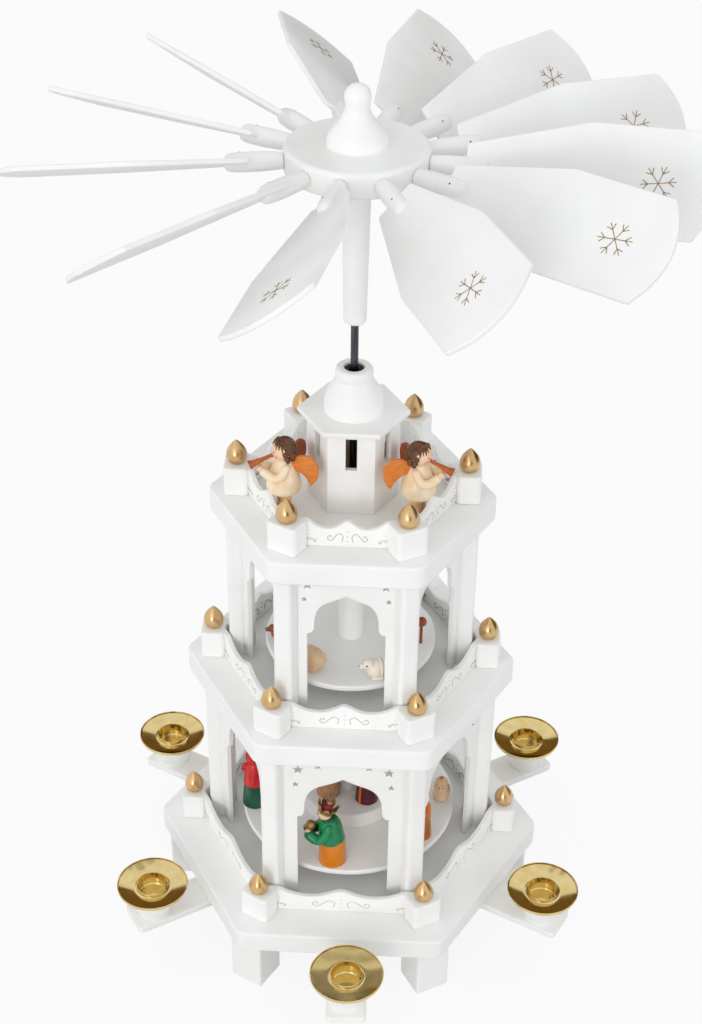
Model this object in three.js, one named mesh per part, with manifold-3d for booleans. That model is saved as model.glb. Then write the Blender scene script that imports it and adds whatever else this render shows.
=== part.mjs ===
// A three-tier candle pyramid of white lacquered wood. The warm air of six candles turns
// the bladed rotor, and with it the shaft that carries two figure turntables.
// Millimetres, +Z up, origin on the floor under the shaft. The plan is a hexagon with a
// flat side to the front, -Y, and two of its corners on the X axis.
import * as THREE from 'three';
import { mergeVertices } from 'three/addons/utils/BufferGeometryUtils.js';
import Module from 'manifold-3d';

const sides = 6;
const totalHeight = 500;
const frontDegrees = 270;

// Fits between pieces
const glueGap = 0.3;
const runningGap = 0.3;
const postGap = 1.5;
const turntableClearance = 3;
const lowerTurntableClearance = 1.5;

// Feet and plates
const footHeight = 30;
const footWidth = 20;
const footSetback = 16;
const footEdge = 1.5;
const plateThickness = 13.5;
const plateCornerRadius = 8;
const upperPlateRadius = 76.5;
const baseMargin = 20.5;
const shaftHoleRadius = 6;

// Railings
const railSetback = 16;
const postWidth = 17.5;
const postDepth = 13;
const postHeight = 16.5;
const postEdgeRadius = 2.5;
const railThickness = 3;
const railPeak = 15.5;
const railDip = 10.5;
const railEndFlat = 3;
const finialDiameter = 11;
const finialHeight = 13;
const finialFootDiameter = 7.5;

// Arcades of columns and arch panels
const lowerStorey = 110.5;
const middleStorey = 95.5;
const columnSetback = 13;
const columnWidth = 11;
const columnDepth = 9;
const columnEdgeRadius = 2.5;
const archThickness = 3;
const archInset = 2.3;
const lowerJamb = 13.35;
const middleJamb = 10.3;
const lowerSpring = 61.5;
const middleSpring = 55;
const lowerArchRise = 28.5;
const middleArchRise = 25;
const ledgeWidth = 3.7;
const ledgeRise = 5;

// Tower on the upper plate
const towerSetback = 52.5;
const towerWall = 3;
const towerHeight = 48.25;
const windowWidth = 5.8;
const windowHeight = 18.5;
const windowSill = 26.5;
const roofOverhang = 5;
const roofThickness = 2.75;
const capHeight = 24.5;
const capDiameter = 30.5;
const capNeckDiameter = 19.3;
const capNeckHeight = 6;
const capEdge = 1;
const bushDiameter = 10;
const bushHeight = 9;
const bushRecess = 1;

// Candle arms and brass holders
const armWidth = 22;
const armThickness = 4;
const armUnderlap = 35;
const armTurnDegrees = 2.6;
const armCornerRadius = 2.5;
const cupReach = 30.5;
const cupTopDiameter = 27;
const cupFootDiameter = 18;
const cupHeight = 17;
const armTip = 13.5;
const candleDiameter = 16.8;
const socketWall = 1.25;
const socketDepth = 5.5;
const collarHeight = 3;
const dishDiameter = 40;
const dishRise = 3;
const dishWall = 0.8;

// Shaft, pivot and turntables
const shaftDiameter = 4;
const shaftPoint = 5;
const pivotDiameter = 14;
const pivotHeight = 6;
const pivotRecess = 3.5;
const turntableThickness = 3.25;
const lowerTurntableLift = 13.25;
const middleTurntableLift = 11.75;
const pedestalRadius = 28;
const pedestalHeight = 10;
const turntableSleeveDiameter = 14;

// Rotor
const shaftShow = 25;
const hubSleeveTopDiameter = 14.4;
const hubSleeveFootDiameter = 11.4;
const hubRadius = 34.5;
const hubThickness = 13;
const hubEdge = 1.5;
const knobHeight = 29.5;
const knobDiameter = 29;
const knobBallDiameter = 12.8;
const bladeCount = 12;
const tenonDiameter = 6;
const tenonLength = 14;
const stickDiameter = 9.4;
const stickReach = 27.5;
const paddleOverlap = 11;
const paddleLength = 115;
const paddleRootWidth = 21;
const paddleWidth = 50;
const paddleShoulder = 56;
const paddleCorner = 106;
const paddleThickness = 2.5;
// Where each stick stands round the hub, and how far its blade is turned about it, in degrees.
const bladeAzimuthDegrees = [19.2, 47.5, 74.5, 101.1, 129, 156, 190.5, 229, 259.5, 292.5, 325.5, 352.1];
const bladePitchDegrees = [48, 45, 41, 38, 36, 26, 25, 33, 37, 45, 44, 60];

// Figures on the turntables and the two angels of the upper floor
const figureMargin = 7.9;
const animalMargin = 8;
const pedestalMargin = 11.5;
const personHeight = 48;
const personDiameter = 15;
const headDiameter = 10;
const personArm = 12;
const hatHeight = 5;
const giftDiameter = 7;
const animalLength = 17;
const animalDiameter = 9.5;
const angelMargin = 9.8;
const angelSpreadDegrees = 60;
const angelTurnDegrees = 70;
const angelLegHeight = 12;
const angelLegDiameter = 5;
const angelDressHeight = 19;
const angelDressDiameter = 18;
const angelHeadDiameter = 12;
const angelArm = 15;
const wingHeight = 17;
const wingThickness = 2;
const trumpetLength = 16;
const trumpetDiameter = 6;

// Levels and radii that follow from the sizes above
const middleColumnRadius = upperPlateRadius - columnSetback;
const postStep = columnDepth / 2 + postGap + postDepth / 2;
const middleRailRadius = middleColumnRadius + postStep;
const middlePlateRadius = middleRailRadius + railSetback;
const lowerColumnRadius = middlePlateRadius - columnSetback;
const lowerRailRadius = lowerColumnRadius + postStep;
const basePlateRadius = lowerRailRadius + baseMargin;
const upperRailRadius = upperPlateRadius - railSetback;
const towerRadius = upperPlateRadius - towerSetback;
const roofRadius = towerRadius + roofOverhang;
const baseTop = footHeight + plateThickness;
const middleTop = baseTop + lowerStorey + plateThickness;
const upperTop = middleTop + middleStorey + plateThickness;
const roofBottom = upperTop + towerHeight;
const capBottom = roofBottom + roofThickness;
const capTop = capBottom + capHeight;
const hubTop = totalHeight - knobHeight;
const hubBottom = hubTop - hubThickness;
const hubSleeveBottom = capTop + shaftShow;
const hubSleeveLength = hubBottom - hubSleeveBottom;
const bladeLevel = hubBottom + hubThickness / 2;
const lowerTurntableTop = baseTop + lowerTurntableLift + turntableThickness;
const middleTurntableTop = middleTop + middleTurntableLift + turntableThickness;
const lowerTurntableRadius = boardBack(lowerColumnRadius) - lowerTurntableClearance;
const middleTurntableRadius = boardBack(middleColumnRadius) - turntableClearance;
const shaftBore = shaftDiameter / 2 + glueGap;
const socketRadius = candleDiameter / 2 + socketWall;

// Facets
const small = 6;
const coarse = 8;
const round = 12;
const fine = 30;

const white = { color: 0xf2f1ee, roughness: 0.35, metalness: 0 };
const gold = { color: 0xc59a4e, roughness: 0.35, metalness: 0.6 };
const brass = { color: 0xb08d3e, roughness: 0.15, metalness: 1 };
const steel = { color: 0x4a4c50, roughness: 0.25, metalness: 1 };
const green = { color: 0x17703a, roughness: 0.35, metalness: 0 };
const red = { color: 0xc0202a, roughness: 0.35, metalness: 0 };
const orange = { color: 0xe07a14, roughness: 0.35, metalness: 0 };
const darkRed = { color: 0x741a2b, roughness: 0.35, metalness: 0 };
const beige = { color: 0xdcbf94, roughness: 0.45, metalness: 0 };
const cream = { color: 0xf0dfc0, roughness: 0.5, metalness: 0 };

const wasm = await Module();
wasm.setup();

function degrees(angle) {
  return THREE.MathUtils.degToRad(angle);
}

// Distance from the axis to the middle of a hexagon's side, from its corner radius
function apothem(radius) {
  return radius * Math.cos(Math.PI / sides);
}

// Inner face of the arch boards of a storey
function boardBack(columnRadius) {
  return apothem(columnRadius - archInset) - archThickness;
}

// Inner face of the fence boards, which just clear the corners of the columns behind them
function railBack(railRadius) {
  const columnFront = apothem(railRadius - postDepth / 2 - postGap);
  return columnFront + (columnWidth / 2 - columnEdgeRadius) * Math.sin(Math.PI / sides) + glueGap;
}

// A closed geometry as a solid, without the flat triangles that a lathe leaves on its axis.
function solidOf(geometry) {
  const bare = geometry.clone();
  bare.deleteAttribute('normal');
  bare.deleteAttribute('uv');
  const merged = mergeVertices(bare, 1e-4);
  const triangles = [];
  for (let i = 0; i < merged.index.count; i += 3) {
    const [a, b, c] = [0, 1, 2].map((k) => merged.index.getX(i + k));
    if (a !== b && b !== c && c !== a) triangles.push(a, b, c);
  }
  const mesh = new wasm.Mesh({
    numProp: 3,
    vertProperties: Float32Array.from(merged.attributes.position.array),
    triVerts: Uint32Array.from(triangles),
  });
  return new wasm.Manifold(mesh);
}

function geometryOf(solid) {
  const mesh = solid.getMesh();
  const geometry = new THREE.BufferGeometry();
  geometry.setAttribute('position', new THREE.BufferAttribute(mesh.vertProperties, 3));
  geometry.setIndex(new THREE.BufferAttribute(mesh.triVerts, 1));
  geometry.computeVertexNormals();
  return geometry;
}

function join(...geometries) {
  return geometryOf(geometries.map(solidOf).reduce((whole, piece) => whole.add(piece)));
}

function cut(body, ...tools) {
  return geometryOf(tools.map(solidOf).reduce((rest, tool) => rest.subtract(tool), solidOf(body)));
}

// A profile of radius and height, drawn upwards, turned about Z.
function turned(path, segments, divisions = 5) {
  return new THREE.LatheGeometry(path.getPoints(divisions), segments).rotateX(Math.PI / 2);
}

// A profile of radius and reach, drawn outwards, turned about X.
function turnedAlongX(path, segments, divisions = 5) {
  return new THREE.LatheGeometry(path.getPoints(divisions), segments).rotateZ(-Math.PI / 2);
}

function ring(outer, inner, bottom, top, segments) {
  const path = new THREE.Path();
  path.moveTo(inner, bottom);
  path.lineTo(outer, bottom);
  path.lineTo(outer, top);
  path.lineTo(inner, top);
  path.lineTo(inner, bottom);
  return turned(path, segments);
}

function ball(diameter, x, y, z, segments = coarse) {
  const rings = Math.ceil(segments * 0.6);
  return new THREE.SphereGeometry(diameter / 2, segments, rings).rotateX(Math.PI / 2).translate(x, y, z);
}

function ellipsoid(length, width, height, x, y, z, segments = coarse) {
  const rings = Math.ceil(segments * 0.6);
  const geometry = new THREE.SphereGeometry(0.5, segments, rings).rotateX(Math.PI / 2);
  return geometry.scale(length, width, height).translate(x, y, z);
}

function upright(shape, bottom, height, curveSegments = 3) {
  const settings = { depth: height, bevelEnabled: false, curveSegments };
  return new THREE.ExtrudeGeometry(shape, settings).translate(0, 0, bottom);
}

// A board that stands on edge: its outline runs along X and up, its outer face lies at y = -face.
function standing(shape, face, thickness, curveSegments = 3) {
  const settings = { depth: thickness, bevelEnabled: false, curveSegments };
  return new THREE.ExtrudeGeometry(shape, settings).rotateX(Math.PI / 2).translate(0, thickness - face, 0);
}

function roundedBox(xFrom, xTo, yFrom, yTo, radius) {
  const shape = new THREE.Shape();
  shape.moveTo(xFrom + radius, yFrom);
  shape.lineTo(xTo - radius, yFrom);
  shape.quadraticCurveTo(xTo, yFrom, xTo, yFrom + radius);
  shape.lineTo(xTo, yTo - radius);
  shape.quadraticCurveTo(xTo, yTo, xTo - radius, yTo);
  shape.lineTo(xFrom + radius, yTo);
  shape.quadraticCurveTo(xFrom, yTo, xFrom, yTo - radius);
  shape.lineTo(xFrom, yFrom + radius);
  shape.quadraticCurveTo(xFrom, yFrom, xFrom + radius, yFrom);
  return shape;
}

// A hexagon with corners of the given radius from the axis, each rounded off.
function hexagon(radius, cornerRadius) {
  const shape = new THREE.Shape();
  const side = 2 * radius * Math.sin(Math.PI / sides);
  const share = Math.min(cornerRadius * Math.tan(Math.PI / sides), side / 2) / side;
  const corner = (k) => {
    const angle = (2 * Math.PI * k) / sides;
    return new THREE.Vector2(radius * Math.cos(angle), radius * Math.sin(angle));
  };
  for (let k = 0; k < sides; k += 1) {
    const from = corner(k).lerp(corner(k - 1), share);
    const to = corner(k).lerp(corner(k + 1), share);
    if (k === 0) shape.moveTo(from.x, from.y);
    else shape.lineTo(from.x, from.y);
    if (cornerRadius > 0) shape.quadraticCurveTo(corner(k).x, corner(k).y, to.x, to.y);
  }
  shape.closePath();
  return shape;
}

function withHole(shape, radius, segments = coarse) {
  const hole = new THREE.Path();
  const points = [];
  for (let k = 0; k < segments; k += 1) {
    const angle = (-2 * Math.PI * k) / segments;
    points.push(new THREE.Vector2(radius * Math.cos(angle), radius * Math.sin(angle)));
  }
  shape.holes.push(hole.setFromPoints(points));
  return shape;
}

const plateOutline = (radius) => hexagon(radius, plateCornerRadius);

function aroundSides(makePiece) {
  const pieces = [];
  for (let k = 0; k < sides; k += 1) {
    pieces.push(makePiece(k).rotateZ((2 * Math.PI * k) / sides));
  }
  return pieces;
}

const pyramid = new THREE.Group();

function add(name, geometry, finish, parent = pyramid) {
  const mesh = new THREE.Mesh(geometry, new THREE.MeshStandardMaterial(finish));
  mesh.name = name;
  parent.add(mesh);
  return mesh;
}

function groupAt(z, parent = pyramid) {
  const group = new THREE.Group();
  group.position.z = z;
  parent.add(group);
  return group;
}

// Square feet under the corners of the base plate
function addFeet() {
  const radius = basePlateRadius - footSetback;
  const half = footWidth / 2;
  for (let k = 0; k < sides; k += 1) {
    const foot = upright(roundedBox(-half, half, -half, half, footEdge), 0, footHeight, 1);
    const holder = groupAt(0);
    holder.rotation.z = (2 * Math.PI * k) / sides;
    add(`foot_${k + 1}`, foot, white, holder).position.x = radius;
  }
}

function addPlate(name, outline, top) {
  add(name, upright(outline, 0, plateThickness), white, groupAt(top - plateThickness));
}

// One gilt onion finial, standing on z = bottom
function finial(bottom) {
  const radius = finialDiameter / 2;
  const path = new THREE.Path();
  path.moveTo(0, bottom);
  path.lineTo(finialFootDiameter / 2, bottom);
  path.bezierCurveTo(
    radius * 1.2, bottom + finialHeight * 0.22,
    radius * 1.12, bottom + finialHeight * 0.55,
    radius * 0.42, bottom + finialHeight * 0.8,
  );
  path.lineTo(0, bottom + finialHeight);
  return turned(path, coarse, 3);
}

// The low fence board between two posts, with two dips and a peak in the middle
function railBoard(railRadius) {
  const face = railBack(railRadius) + railThickness;
  const halfLength = face * Math.tan(Math.PI / sides) - railThickness;
  const shape = new THREE.Shape();
  const dipControl = 2 * railDip - railPeak;
  const flatEnd = halfLength - postWidth / 2 - railEndFlat;
  shape.moveTo(-halfLength, 0);
  shape.lineTo(halfLength, 0);
  shape.lineTo(halfLength, railPeak);
  shape.lineTo(flatEnd, railPeak);
  shape.quadraticCurveTo(flatEnd / 2, dipControl, 0, railPeak);
  shape.quadraticCurveTo(-flatEnd / 2, dipControl, -flatEnd, railPeak);
  shape.lineTo(-halfLength, railPeak);
  shape.closePath();
  return standing(shape, face, railThickness, 4);
}

function railPost(railRadius) {
  const inner = railRadius - postDepth / 2;
  const outer = railRadius + postDepth / 2;
  const shape = roundedBox(inner, outer, -postWidth / 2, postWidth / 2, postEdgeRadius);
  return upright(shape, 0, postHeight, 1);
}

// Six posts with finials and six fence boards, glued into one ring
function addRailing(name, railRadius, floor) {
  const posts = aroundSides(() => railPost(railRadius));
  const finials = aroundSides(() => finial(postHeight).translate(railRadius, 0, 0));
  const boards = aroundSides(() => railBoard(railRadius));
  add(name, join(...boards, ...posts, ...finials), white, groupAt(floor));
}

// One board with a pointed ogee arch that stands open down to the floor
function archBoard(columnRadius, storey, jamb, spring, archRise) {
  const faceRadius = columnRadius - archInset;
  const half = faceRadius * Math.sin(Math.PI / sides) - archThickness;
  const open = faceRadius * Math.sin(Math.PI / sides) - jamb;
  const arch = open - ledgeWidth;
  const foot = spring + ledgeRise;
  const rise = archRise - ledgeRise;
  const shape = new THREE.Shape();
  shape.moveTo(-half, 0);
  shape.lineTo(-open, 0);
  shape.lineTo(-open, spring);
  shape.quadraticCurveTo(-arch, spring, -arch, foot);
  const haunch = foot + rise * 0.5;
  const bend = foot + rise * 0.68;
  const shoulder = foot + rise * 0.775;
  const tip = foot + rise * 0.885;
  shape.bezierCurveTo(-arch, haunch, -arch * 0.82, bend, -arch * 0.54, shoulder);
  shape.quadraticCurveTo(-arch * 0.2, tip, 0, foot + rise);
  shape.quadraticCurveTo(arch * 0.2, tip, arch * 0.54, shoulder);
  shape.bezierCurveTo(arch * 0.82, bend, arch, haunch, arch, foot);
  shape.quadraticCurveTo(arch, spring, open, spring);
  shape.lineTo(open, 0);
  shape.lineTo(half, 0);
  shape.lineTo(half, storey);
  shape.lineTo(-half, storey);
  shape.closePath();
  return standing(shape, apothem(faceRadius), archThickness, 3);
}

function column(columnRadius, storey) {
  const inner = columnRadius - columnDepth / 2;
  const outer = columnRadius + columnDepth / 2;
  const shape = roundedBox(inner, outer, -columnWidth / 2, columnWidth / 2, columnEdgeRadius);
  return upright(shape, 0, storey, 1);
}

// Six columns with six arch boards between them, glued into one ring
function addArcade(name, columnRadius, floor, storey, jamb, spring, archRise) {
  const columns = aroundSides(() => column(columnRadius, storey));
  const boards = aroundSides(() => archBoard(columnRadius, storey, jamb, spring, archRise));
  add(name, join(...columns, ...boards), white, groupAt(floor));
}

// Hexagonal lantern tower with a slit window in each side, its roof, cap and steel bush
function addTower() {
  const walls = groupAt(upperTop);
  const outside = upright(hexagon(towerRadius, 0), 0, towerHeight);
  const wallRadius = towerWall / Math.cos(Math.PI / sides);
  const inside = upright(hexagon(towerRadius - wallRadius, 0), -1, towerHeight + 2);
  const windows = aroundSides(() => {
    const slit = new THREE.BoxGeometry(windowWidth, towerWall * 4, windowHeight);
    return slit.translate(0, -apothem(towerRadius), windowSill + windowHeight / 2);
  });
  add('tower_walls', cut(outside, inside, ...windows), white, walls);

  const roof = withHole(hexagon(roofRadius, 0), shaftHoleRadius);
  add('tower_roof', upright(roof, 0, roofThickness), white, groupAt(roofBottom));

  const neck = capNeckDiameter / 2;
  const neckFoot = capHeight - capNeckHeight;
  const mouth = bushDiameter / 2 + glueGap;
  const mouthFloor = capHeight - bushRecess - bushHeight;
  const shaftPass = shaftDiameter / 2 + 3 * runningGap;
  const path = new THREE.Path();
  path.moveTo(shaftPass, 0);
  path.lineTo(capDiameter / 2, 0);
  path.bezierCurveTo(capDiameter / 2, neckFoot * 0.55, neck * 1.1, neckFoot * 0.7, neck, neckFoot);
  path.lineTo(neck, capHeight - capEdge);
  path.lineTo(neck - capEdge, capHeight);
  path.lineTo(mouth, capHeight);
  path.lineTo(mouth, mouthFloor);
  path.lineTo(shaftPass, mouthFloor);
  path.closePath();
  add('tower_cap', turned(path, round, 4), white, groupAt(capBottom));

  const bush = ring(bushDiameter / 2, shaftDiameter / 2 + runningGap, 0, bushHeight, coarse);
  add('shaft_bush', bush, steel, groupAt(capTop - bushRecess - bushHeight));
}

// Boards under the base plate, each with a turned cup, and the brass holders in the cups
function addCandleArms() {
  const cupRadius = apothem(basePlateRadius) + cupReach;
  const from = apothem(basePlateRadius) - armUnderlap - cupRadius;
  const bore = socketRadius + glueGap;
  const boreFloor = cupHeight - socketDepth - socketWall - glueGap;
  const board = upright(
    roundedBox(from, armTip, -armWidth / 2, armWidth / 2, armCornerRadius),
    -armThickness, armThickness, 2,
  );
  const path = new THREE.Path();
  path.moveTo(0, -armThickness / 2);
  path.lineTo(cupFootDiameter / 2, -armThickness / 2);
  path.lineTo(cupFootDiameter / 2, 0);
  path.quadraticCurveTo(cupTopDiameter / 2 - 1, cupHeight * 0.45, cupTopDiameter / 2, cupHeight);
  path.lineTo(bore, cupHeight);
  path.lineTo(bore, boreFloor);
  path.lineTo(0, boreFloor);
  const arm = join(board, turned(path, round, 4));
  for (let k = 0; k < sides; k += 1) {
    const turn = groupAt(footHeight);
    turn.rotation.z = Math.PI / sides + (2 * Math.PI * k) / sides + degrees(armTurnDegrees);
    add(`candle_arm_${k + 1}`, arm.clone(), white, turn).position.x = cupRadius;
    const holder = add(`candle_holder_${k + 1}`, candleHolder(), brass, turn);
    holder.position.set(cupRadius, 0, cupHeight);
  }
}

// A drip dish pressed from brass with a deep socket for the candle, z = 0 at the cup's rim
function candleHolder() {
  const dish = dishDiameter / 2;
  const path = new THREE.Path();
  path.moveTo(0, -socketDepth - socketWall);
  path.lineTo(socketRadius, -socketDepth - socketWall);
  path.lineTo(socketRadius, 0);
  path.lineTo(cupTopDiameter / 2 - glueGap, glueGap);
  path.lineTo(dish, dishRise);
  path.lineTo(dish, dishRise + dishWall);
  path.lineTo(cupTopDiameter / 2 - glueGap, glueGap + dishWall);
  path.lineTo(socketRadius, dishWall);
  path.lineTo(socketRadius, collarHeight);
  path.lineTo(candleDiameter / 2, collarHeight);
  path.lineTo(candleDiameter / 2, -socketDepth);
  path.lineTo(0, -socketDepth);
  return turned(path, round);
}

// Steel cup on the base plate in which the point of the shaft turns
function addPivot() {
  const recess = shaftDiameter / 2 + 2 * runningGap;
  const path = new THREE.Path();
  path.moveTo(0, 0);
  path.lineTo(pivotDiameter / 2, 0);
  path.lineTo(pivotDiameter / 2 - 1, pivotHeight);
  path.lineTo(recess, pivotHeight);
  path.lineTo(0, pivotHeight - pivotRecess);
  add('pivot_cup', turned(path, coarse), steel, groupAt(baseTop));
}

function addShaft(rotor) {
  const radius = shaftDiameter / 2;
  const bottom = baseTop + pivotHeight - pivotRecess + runningGap * 3;
  const path = new THREE.Path();
  path.moveTo(0, bottom);
  path.lineTo(radius, bottom + shaftPoint);
  path.lineTo(radius, hubTop - glueGap);
  path.lineTo(0, hubTop - glueGap);
  add('shaft', turned(path, coarse), steel, rotor);
}

// Two discs that carry the figures round, a round step on the lower one, a sleeve on the other
function addTurntables(rotor) {
  const lowerDisc = ring(lowerTurntableRadius, shaftBore, -turntableThickness, 0, fine);
  add('lower_turntable', lowerDisc, white, groupAt(lowerTurntableTop, rotor));
  const tubeTop = middleTop - plateThickness - turntableClearance - lowerTurntableTop;
  const step = ring(pedestalRadius, shaftBore, 0, pedestalHeight, fine);
  const tube = ring(turntableSleeveDiameter / 2, shaftBore, 0, tubeTop, fine);
  add('lower_pedestal', join(step, tube), white, groupAt(lowerTurntableTop, rotor));
  const middleDisc = ring(middleTurntableRadius, shaftBore, -turntableThickness, 0, fine);
  add('middle_turntable', middleDisc, white, groupAt(middleTurntableTop, rotor));
  const sleeveHeight = upperTop - plateThickness - middleTurntableTop - turntableClearance;
  const sleeve = ring(turntableSleeveDiameter / 2, shaftBore, 0, sleeveHeight, round);
  add('middle_sleeve', sleeve, white, groupAt(middleTurntableTop, rotor));
}

// Hub disc with a bore for each blade stick, the tapered sleeve under it and the knob on top
function addHub(rotor) {
  const path = new THREE.Path();
  path.moveTo(shaftBore, 0);
  path.lineTo(hubRadius - hubEdge, 0);
  path.lineTo(hubRadius, hubEdge);
  path.lineTo(hubRadius, hubThickness - hubEdge);
  path.lineTo(hubRadius - hubEdge, hubThickness);
  path.lineTo(shaftBore, hubThickness);
  path.closePath();
  const bores = [];
  const boreRadius = tenonDiameter / 2 + runningGap;
  const boreLength = tenonLength + runningGap + 1;
  for (let k = 0; k < bladeCount; k += 1) {
    const drill = new THREE.CylinderGeometry(boreRadius, boreRadius, boreLength, coarse);
    drill.rotateZ(Math.PI / 2).translate(hubRadius + 1 - boreLength / 2, 0, hubThickness / 2);
    drill.rotateZ(bladeAngle(k));
    bores.push(drill);
  }
  add('rotor_hub', cut(turned(path, fine), ...bores), white, groupAt(hubBottom, rotor));

  const sleeve = new THREE.Path();
  const foot = hubSleeveFootDiameter / 2;
  sleeve.moveTo(shaftBore, 0);
  sleeve.lineTo(foot - 1.5, 0);
  sleeve.quadraticCurveTo(foot, 0, foot, 3);
  sleeve.lineTo(hubSleeveTopDiameter / 2, hubSleeveLength);
  sleeve.lineTo(shaftBore, hubSleeveLength);
  sleeve.closePath();
  add('hub_sleeve', turned(sleeve, round, 3), white, groupAt(hubSleeveBottom, rotor));

  const knob = new THREE.Path();
  const ballRadius = knobBallDiameter / 2;
  const ballCentre = knobHeight - ballRadius;
  const neckAngle = degrees(-30);
  knob.moveTo(0, 0);
  knob.lineTo(knobDiameter / 2, 0);
  knob.bezierCurveTo(
    knobDiameter / 2, ballCentre * 0.45,
    ballRadius * 0.8, ballCentre * 0.5,
    ballRadius * Math.cos(neckAngle), ballCentre + ballRadius * Math.sin(neckAngle),
  );
  knob.absarc(0, ballCentre, ballRadius, neckAngle, Math.PI / 2, false);
  add('rotor_knob', turned(knob, round, 4), white, groupAt(hubTop, rotor));
}

function bladeAngle(k) {
  return degrees(bladeAzimuthDegrees[k]);
}

// A thin paddle let into the slotted end of a turned stick whose tenon turns in the hub
function blade() {
  const stickEnd = hubRadius + stickReach;
  const radius = stickDiameter / 2;
  const stick = new THREE.Path();
  stick.moveTo(0, hubRadius - tenonLength);
  stick.lineTo(tenonDiameter / 2, hubRadius - tenonLength);
  stick.lineTo(tenonDiameter / 2, hubRadius + runningGap);
  stick.lineTo(radius * 0.88, hubRadius + runningGap);
  stick.lineTo(radius, hubRadius + stickReach * 0.5);
  stick.lineTo(radius * 0.95, stickEnd - radius);
  stick.quadraticCurveTo(radius * 0.9, stickEnd, 0, stickEnd);

  const root = stickEnd - paddleOverlap;
  const wide = paddleWidth / 2;
  const bulge = paddleLength - paddleCorner;
  const paddle = new THREE.Shape();
  paddle.moveTo(root, -paddleRootWidth / 2);
  paddle.lineTo(root + paddleShoulder, -wide);
  paddle.lineTo(root + paddleCorner, -wide);
  paddle.quadraticCurveTo(root + paddleCorner + 2 * bulge, 0, root + paddleCorner, wide);
  paddle.lineTo(root + paddleShoulder, wide);
  paddle.lineTo(root, paddleRootWidth / 2);
  paddle.closePath();
  const board = upright(paddle, -paddleThickness / 2, paddleThickness, 6);
  return join(board, turnedAlongX(stick, coarse, 2));
}

function addBlades(rotor) {
  const geometry = blade();
  for (let k = 0; k < bladeCount; k += 1) {
    const place = groupAt(bladeLevel, rotor);
    place.rotation.z = bladeAngle(k);
    add(`blade_${k + 1}`, geometry.clone(), white, place).rotation.x = degrees(bladePitchDegrees[k]);
  }
}

// A turned person: flared coat, round head and a cap or crown, standing on z = 0, facing +X
function person(hat) {
  const radius = personDiameter / 2;
  const neck = personHeight - headDiameter * 1.2;
  const path = new THREE.Path();
  path.moveTo(0, 0);
  path.lineTo(radius, 0);
  path.lineTo(radius * 0.9, neck * 0.5);
  path.bezierCurveTo(radius * 1.05, neck * 0.6, radius * 0.8, neck * 0.95, radius * 0.4, neck + 1);
  path.lineTo(0, neck + 1);
  const body = turned(path, coarse, 4);
  const head = ball(headDiameter, 0, 0, neck + headDiameter * 0.42);
  const arms = [-1, 1].map((side) => {
    const arm = ellipsoid(personArm, personArm * 0.42, personArm * 0.58, 0, 0, 0, small);
    return arm.translate(radius * 0.45, side * radius * 0.75, neck * 0.72);
  });
  return join(body, head, ...arms, ...hat(neck + headDiameter * 0.7));
}

// What a person wears or carries, from the level of the brow
function crown(brow) {
  const band = new THREE.CylinderGeometry(headDiameter * 0.62, headDiameter * 0.45, hatHeight, coarse);
  const gift = ball(giftDiameter, personDiameter * 0.58, 0, brow - headDiameter * 1.5, small);
  return [band.rotateX(Math.PI / 2).translate(0, 0, brow + hatHeight * 0.45), gift];
}

function hood(brow) {
  const width = headDiameter * 1.12;
  return [ellipsoid(width, width, headDiameter * 0.8, -headDiameter * 0.08, 0, brow)];
}

function brimHat(brow) {
  const hat = new THREE.CylinderGeometry(headDiameter * 0.3, headDiameter * 0.75, hatHeight, coarse);
  return [hat.rotateX(Math.PI / 2).translate(0, 0, brow + hatHeight * 0.4)];
}

// A lying sheep or calf: a long round body, a raised head at one end, folded legs under it
function lyingAnimal() {
  const wide = animalDiameter;
  const legs = [-1, 1].map((end) => {
    const leg = new THREE.BoxGeometry(animalLength * 0.24, wide * 0.8, wide / 2);
    return leg.translate(end * animalLength * 0.25, 0, wide / 4);
  });
  const body = ellipsoid(animalLength, wide, wide, 0, 0, wide * 0.56);
  const head = ellipsoid(wide * 0.8, wide * 0.52, wide * 0.52, animalLength * 0.5, 0, wide * 0.95, small);
  const neck = ellipsoid(wide * 0.62, wide * 0.48, wide * 0.74, animalLength * 0.36, 0, wide * 0.75, small);
  return join(body, head, neck, ...legs);
}

function stand(name, geometry, finish, parent, ringRadius, { azimuth, facing }) {
  const figure = add(name, geometry, finish, parent);
  figure.position.x = ringRadius * Math.cos(degrees(azimuth));
  figure.position.y = ringRadius * Math.sin(degrees(azimuth));
  figure.rotation.z = degrees(facing);
}

function addFigures(rotor) {
  const lower = groupAt(lowerTurntableTop, rotor);
  const lowerRing = lowerTurntableRadius - figureMargin;
  stand('figure_king', person(crown), green, lower, lowerRing, { azimuth: 263, facing: 195 });
  stand('figure_red_coat', person(brimHat), red, lower, lowerRing, { azimuth: 191, facing: 110 });
  stand('figure_orange_coat', person(hood), orange, lower, lowerRing, { azimuth: 327, facing: 250 });
  stand('figure_lamb', lyingAnimal(), beige, lower, lowerRing, { azimuth: 359.5, facing: 250 });
  const step = groupAt(lowerTurntableTop + pedestalHeight, rotor);
  const stepRing = pedestalRadius - pedestalMargin;
  stand('figure_dark_red_coat', person(hood), darkRed, step, stepRing, { azimuth: 312, facing: 270 });
  const middle = groupAt(middleTurntableTop, rotor);
  const middleRing = middleTurntableRadius - animalMargin;
  stand('figure_sheep', lyingAnimal(), cream, middle, middleRing, { azimuth: 298, facing: 190 });
  stand('figure_calf', lyingAnimal(), beige, middle, middleRing, { azimuth: 242, facing: 150 });
}

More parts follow.
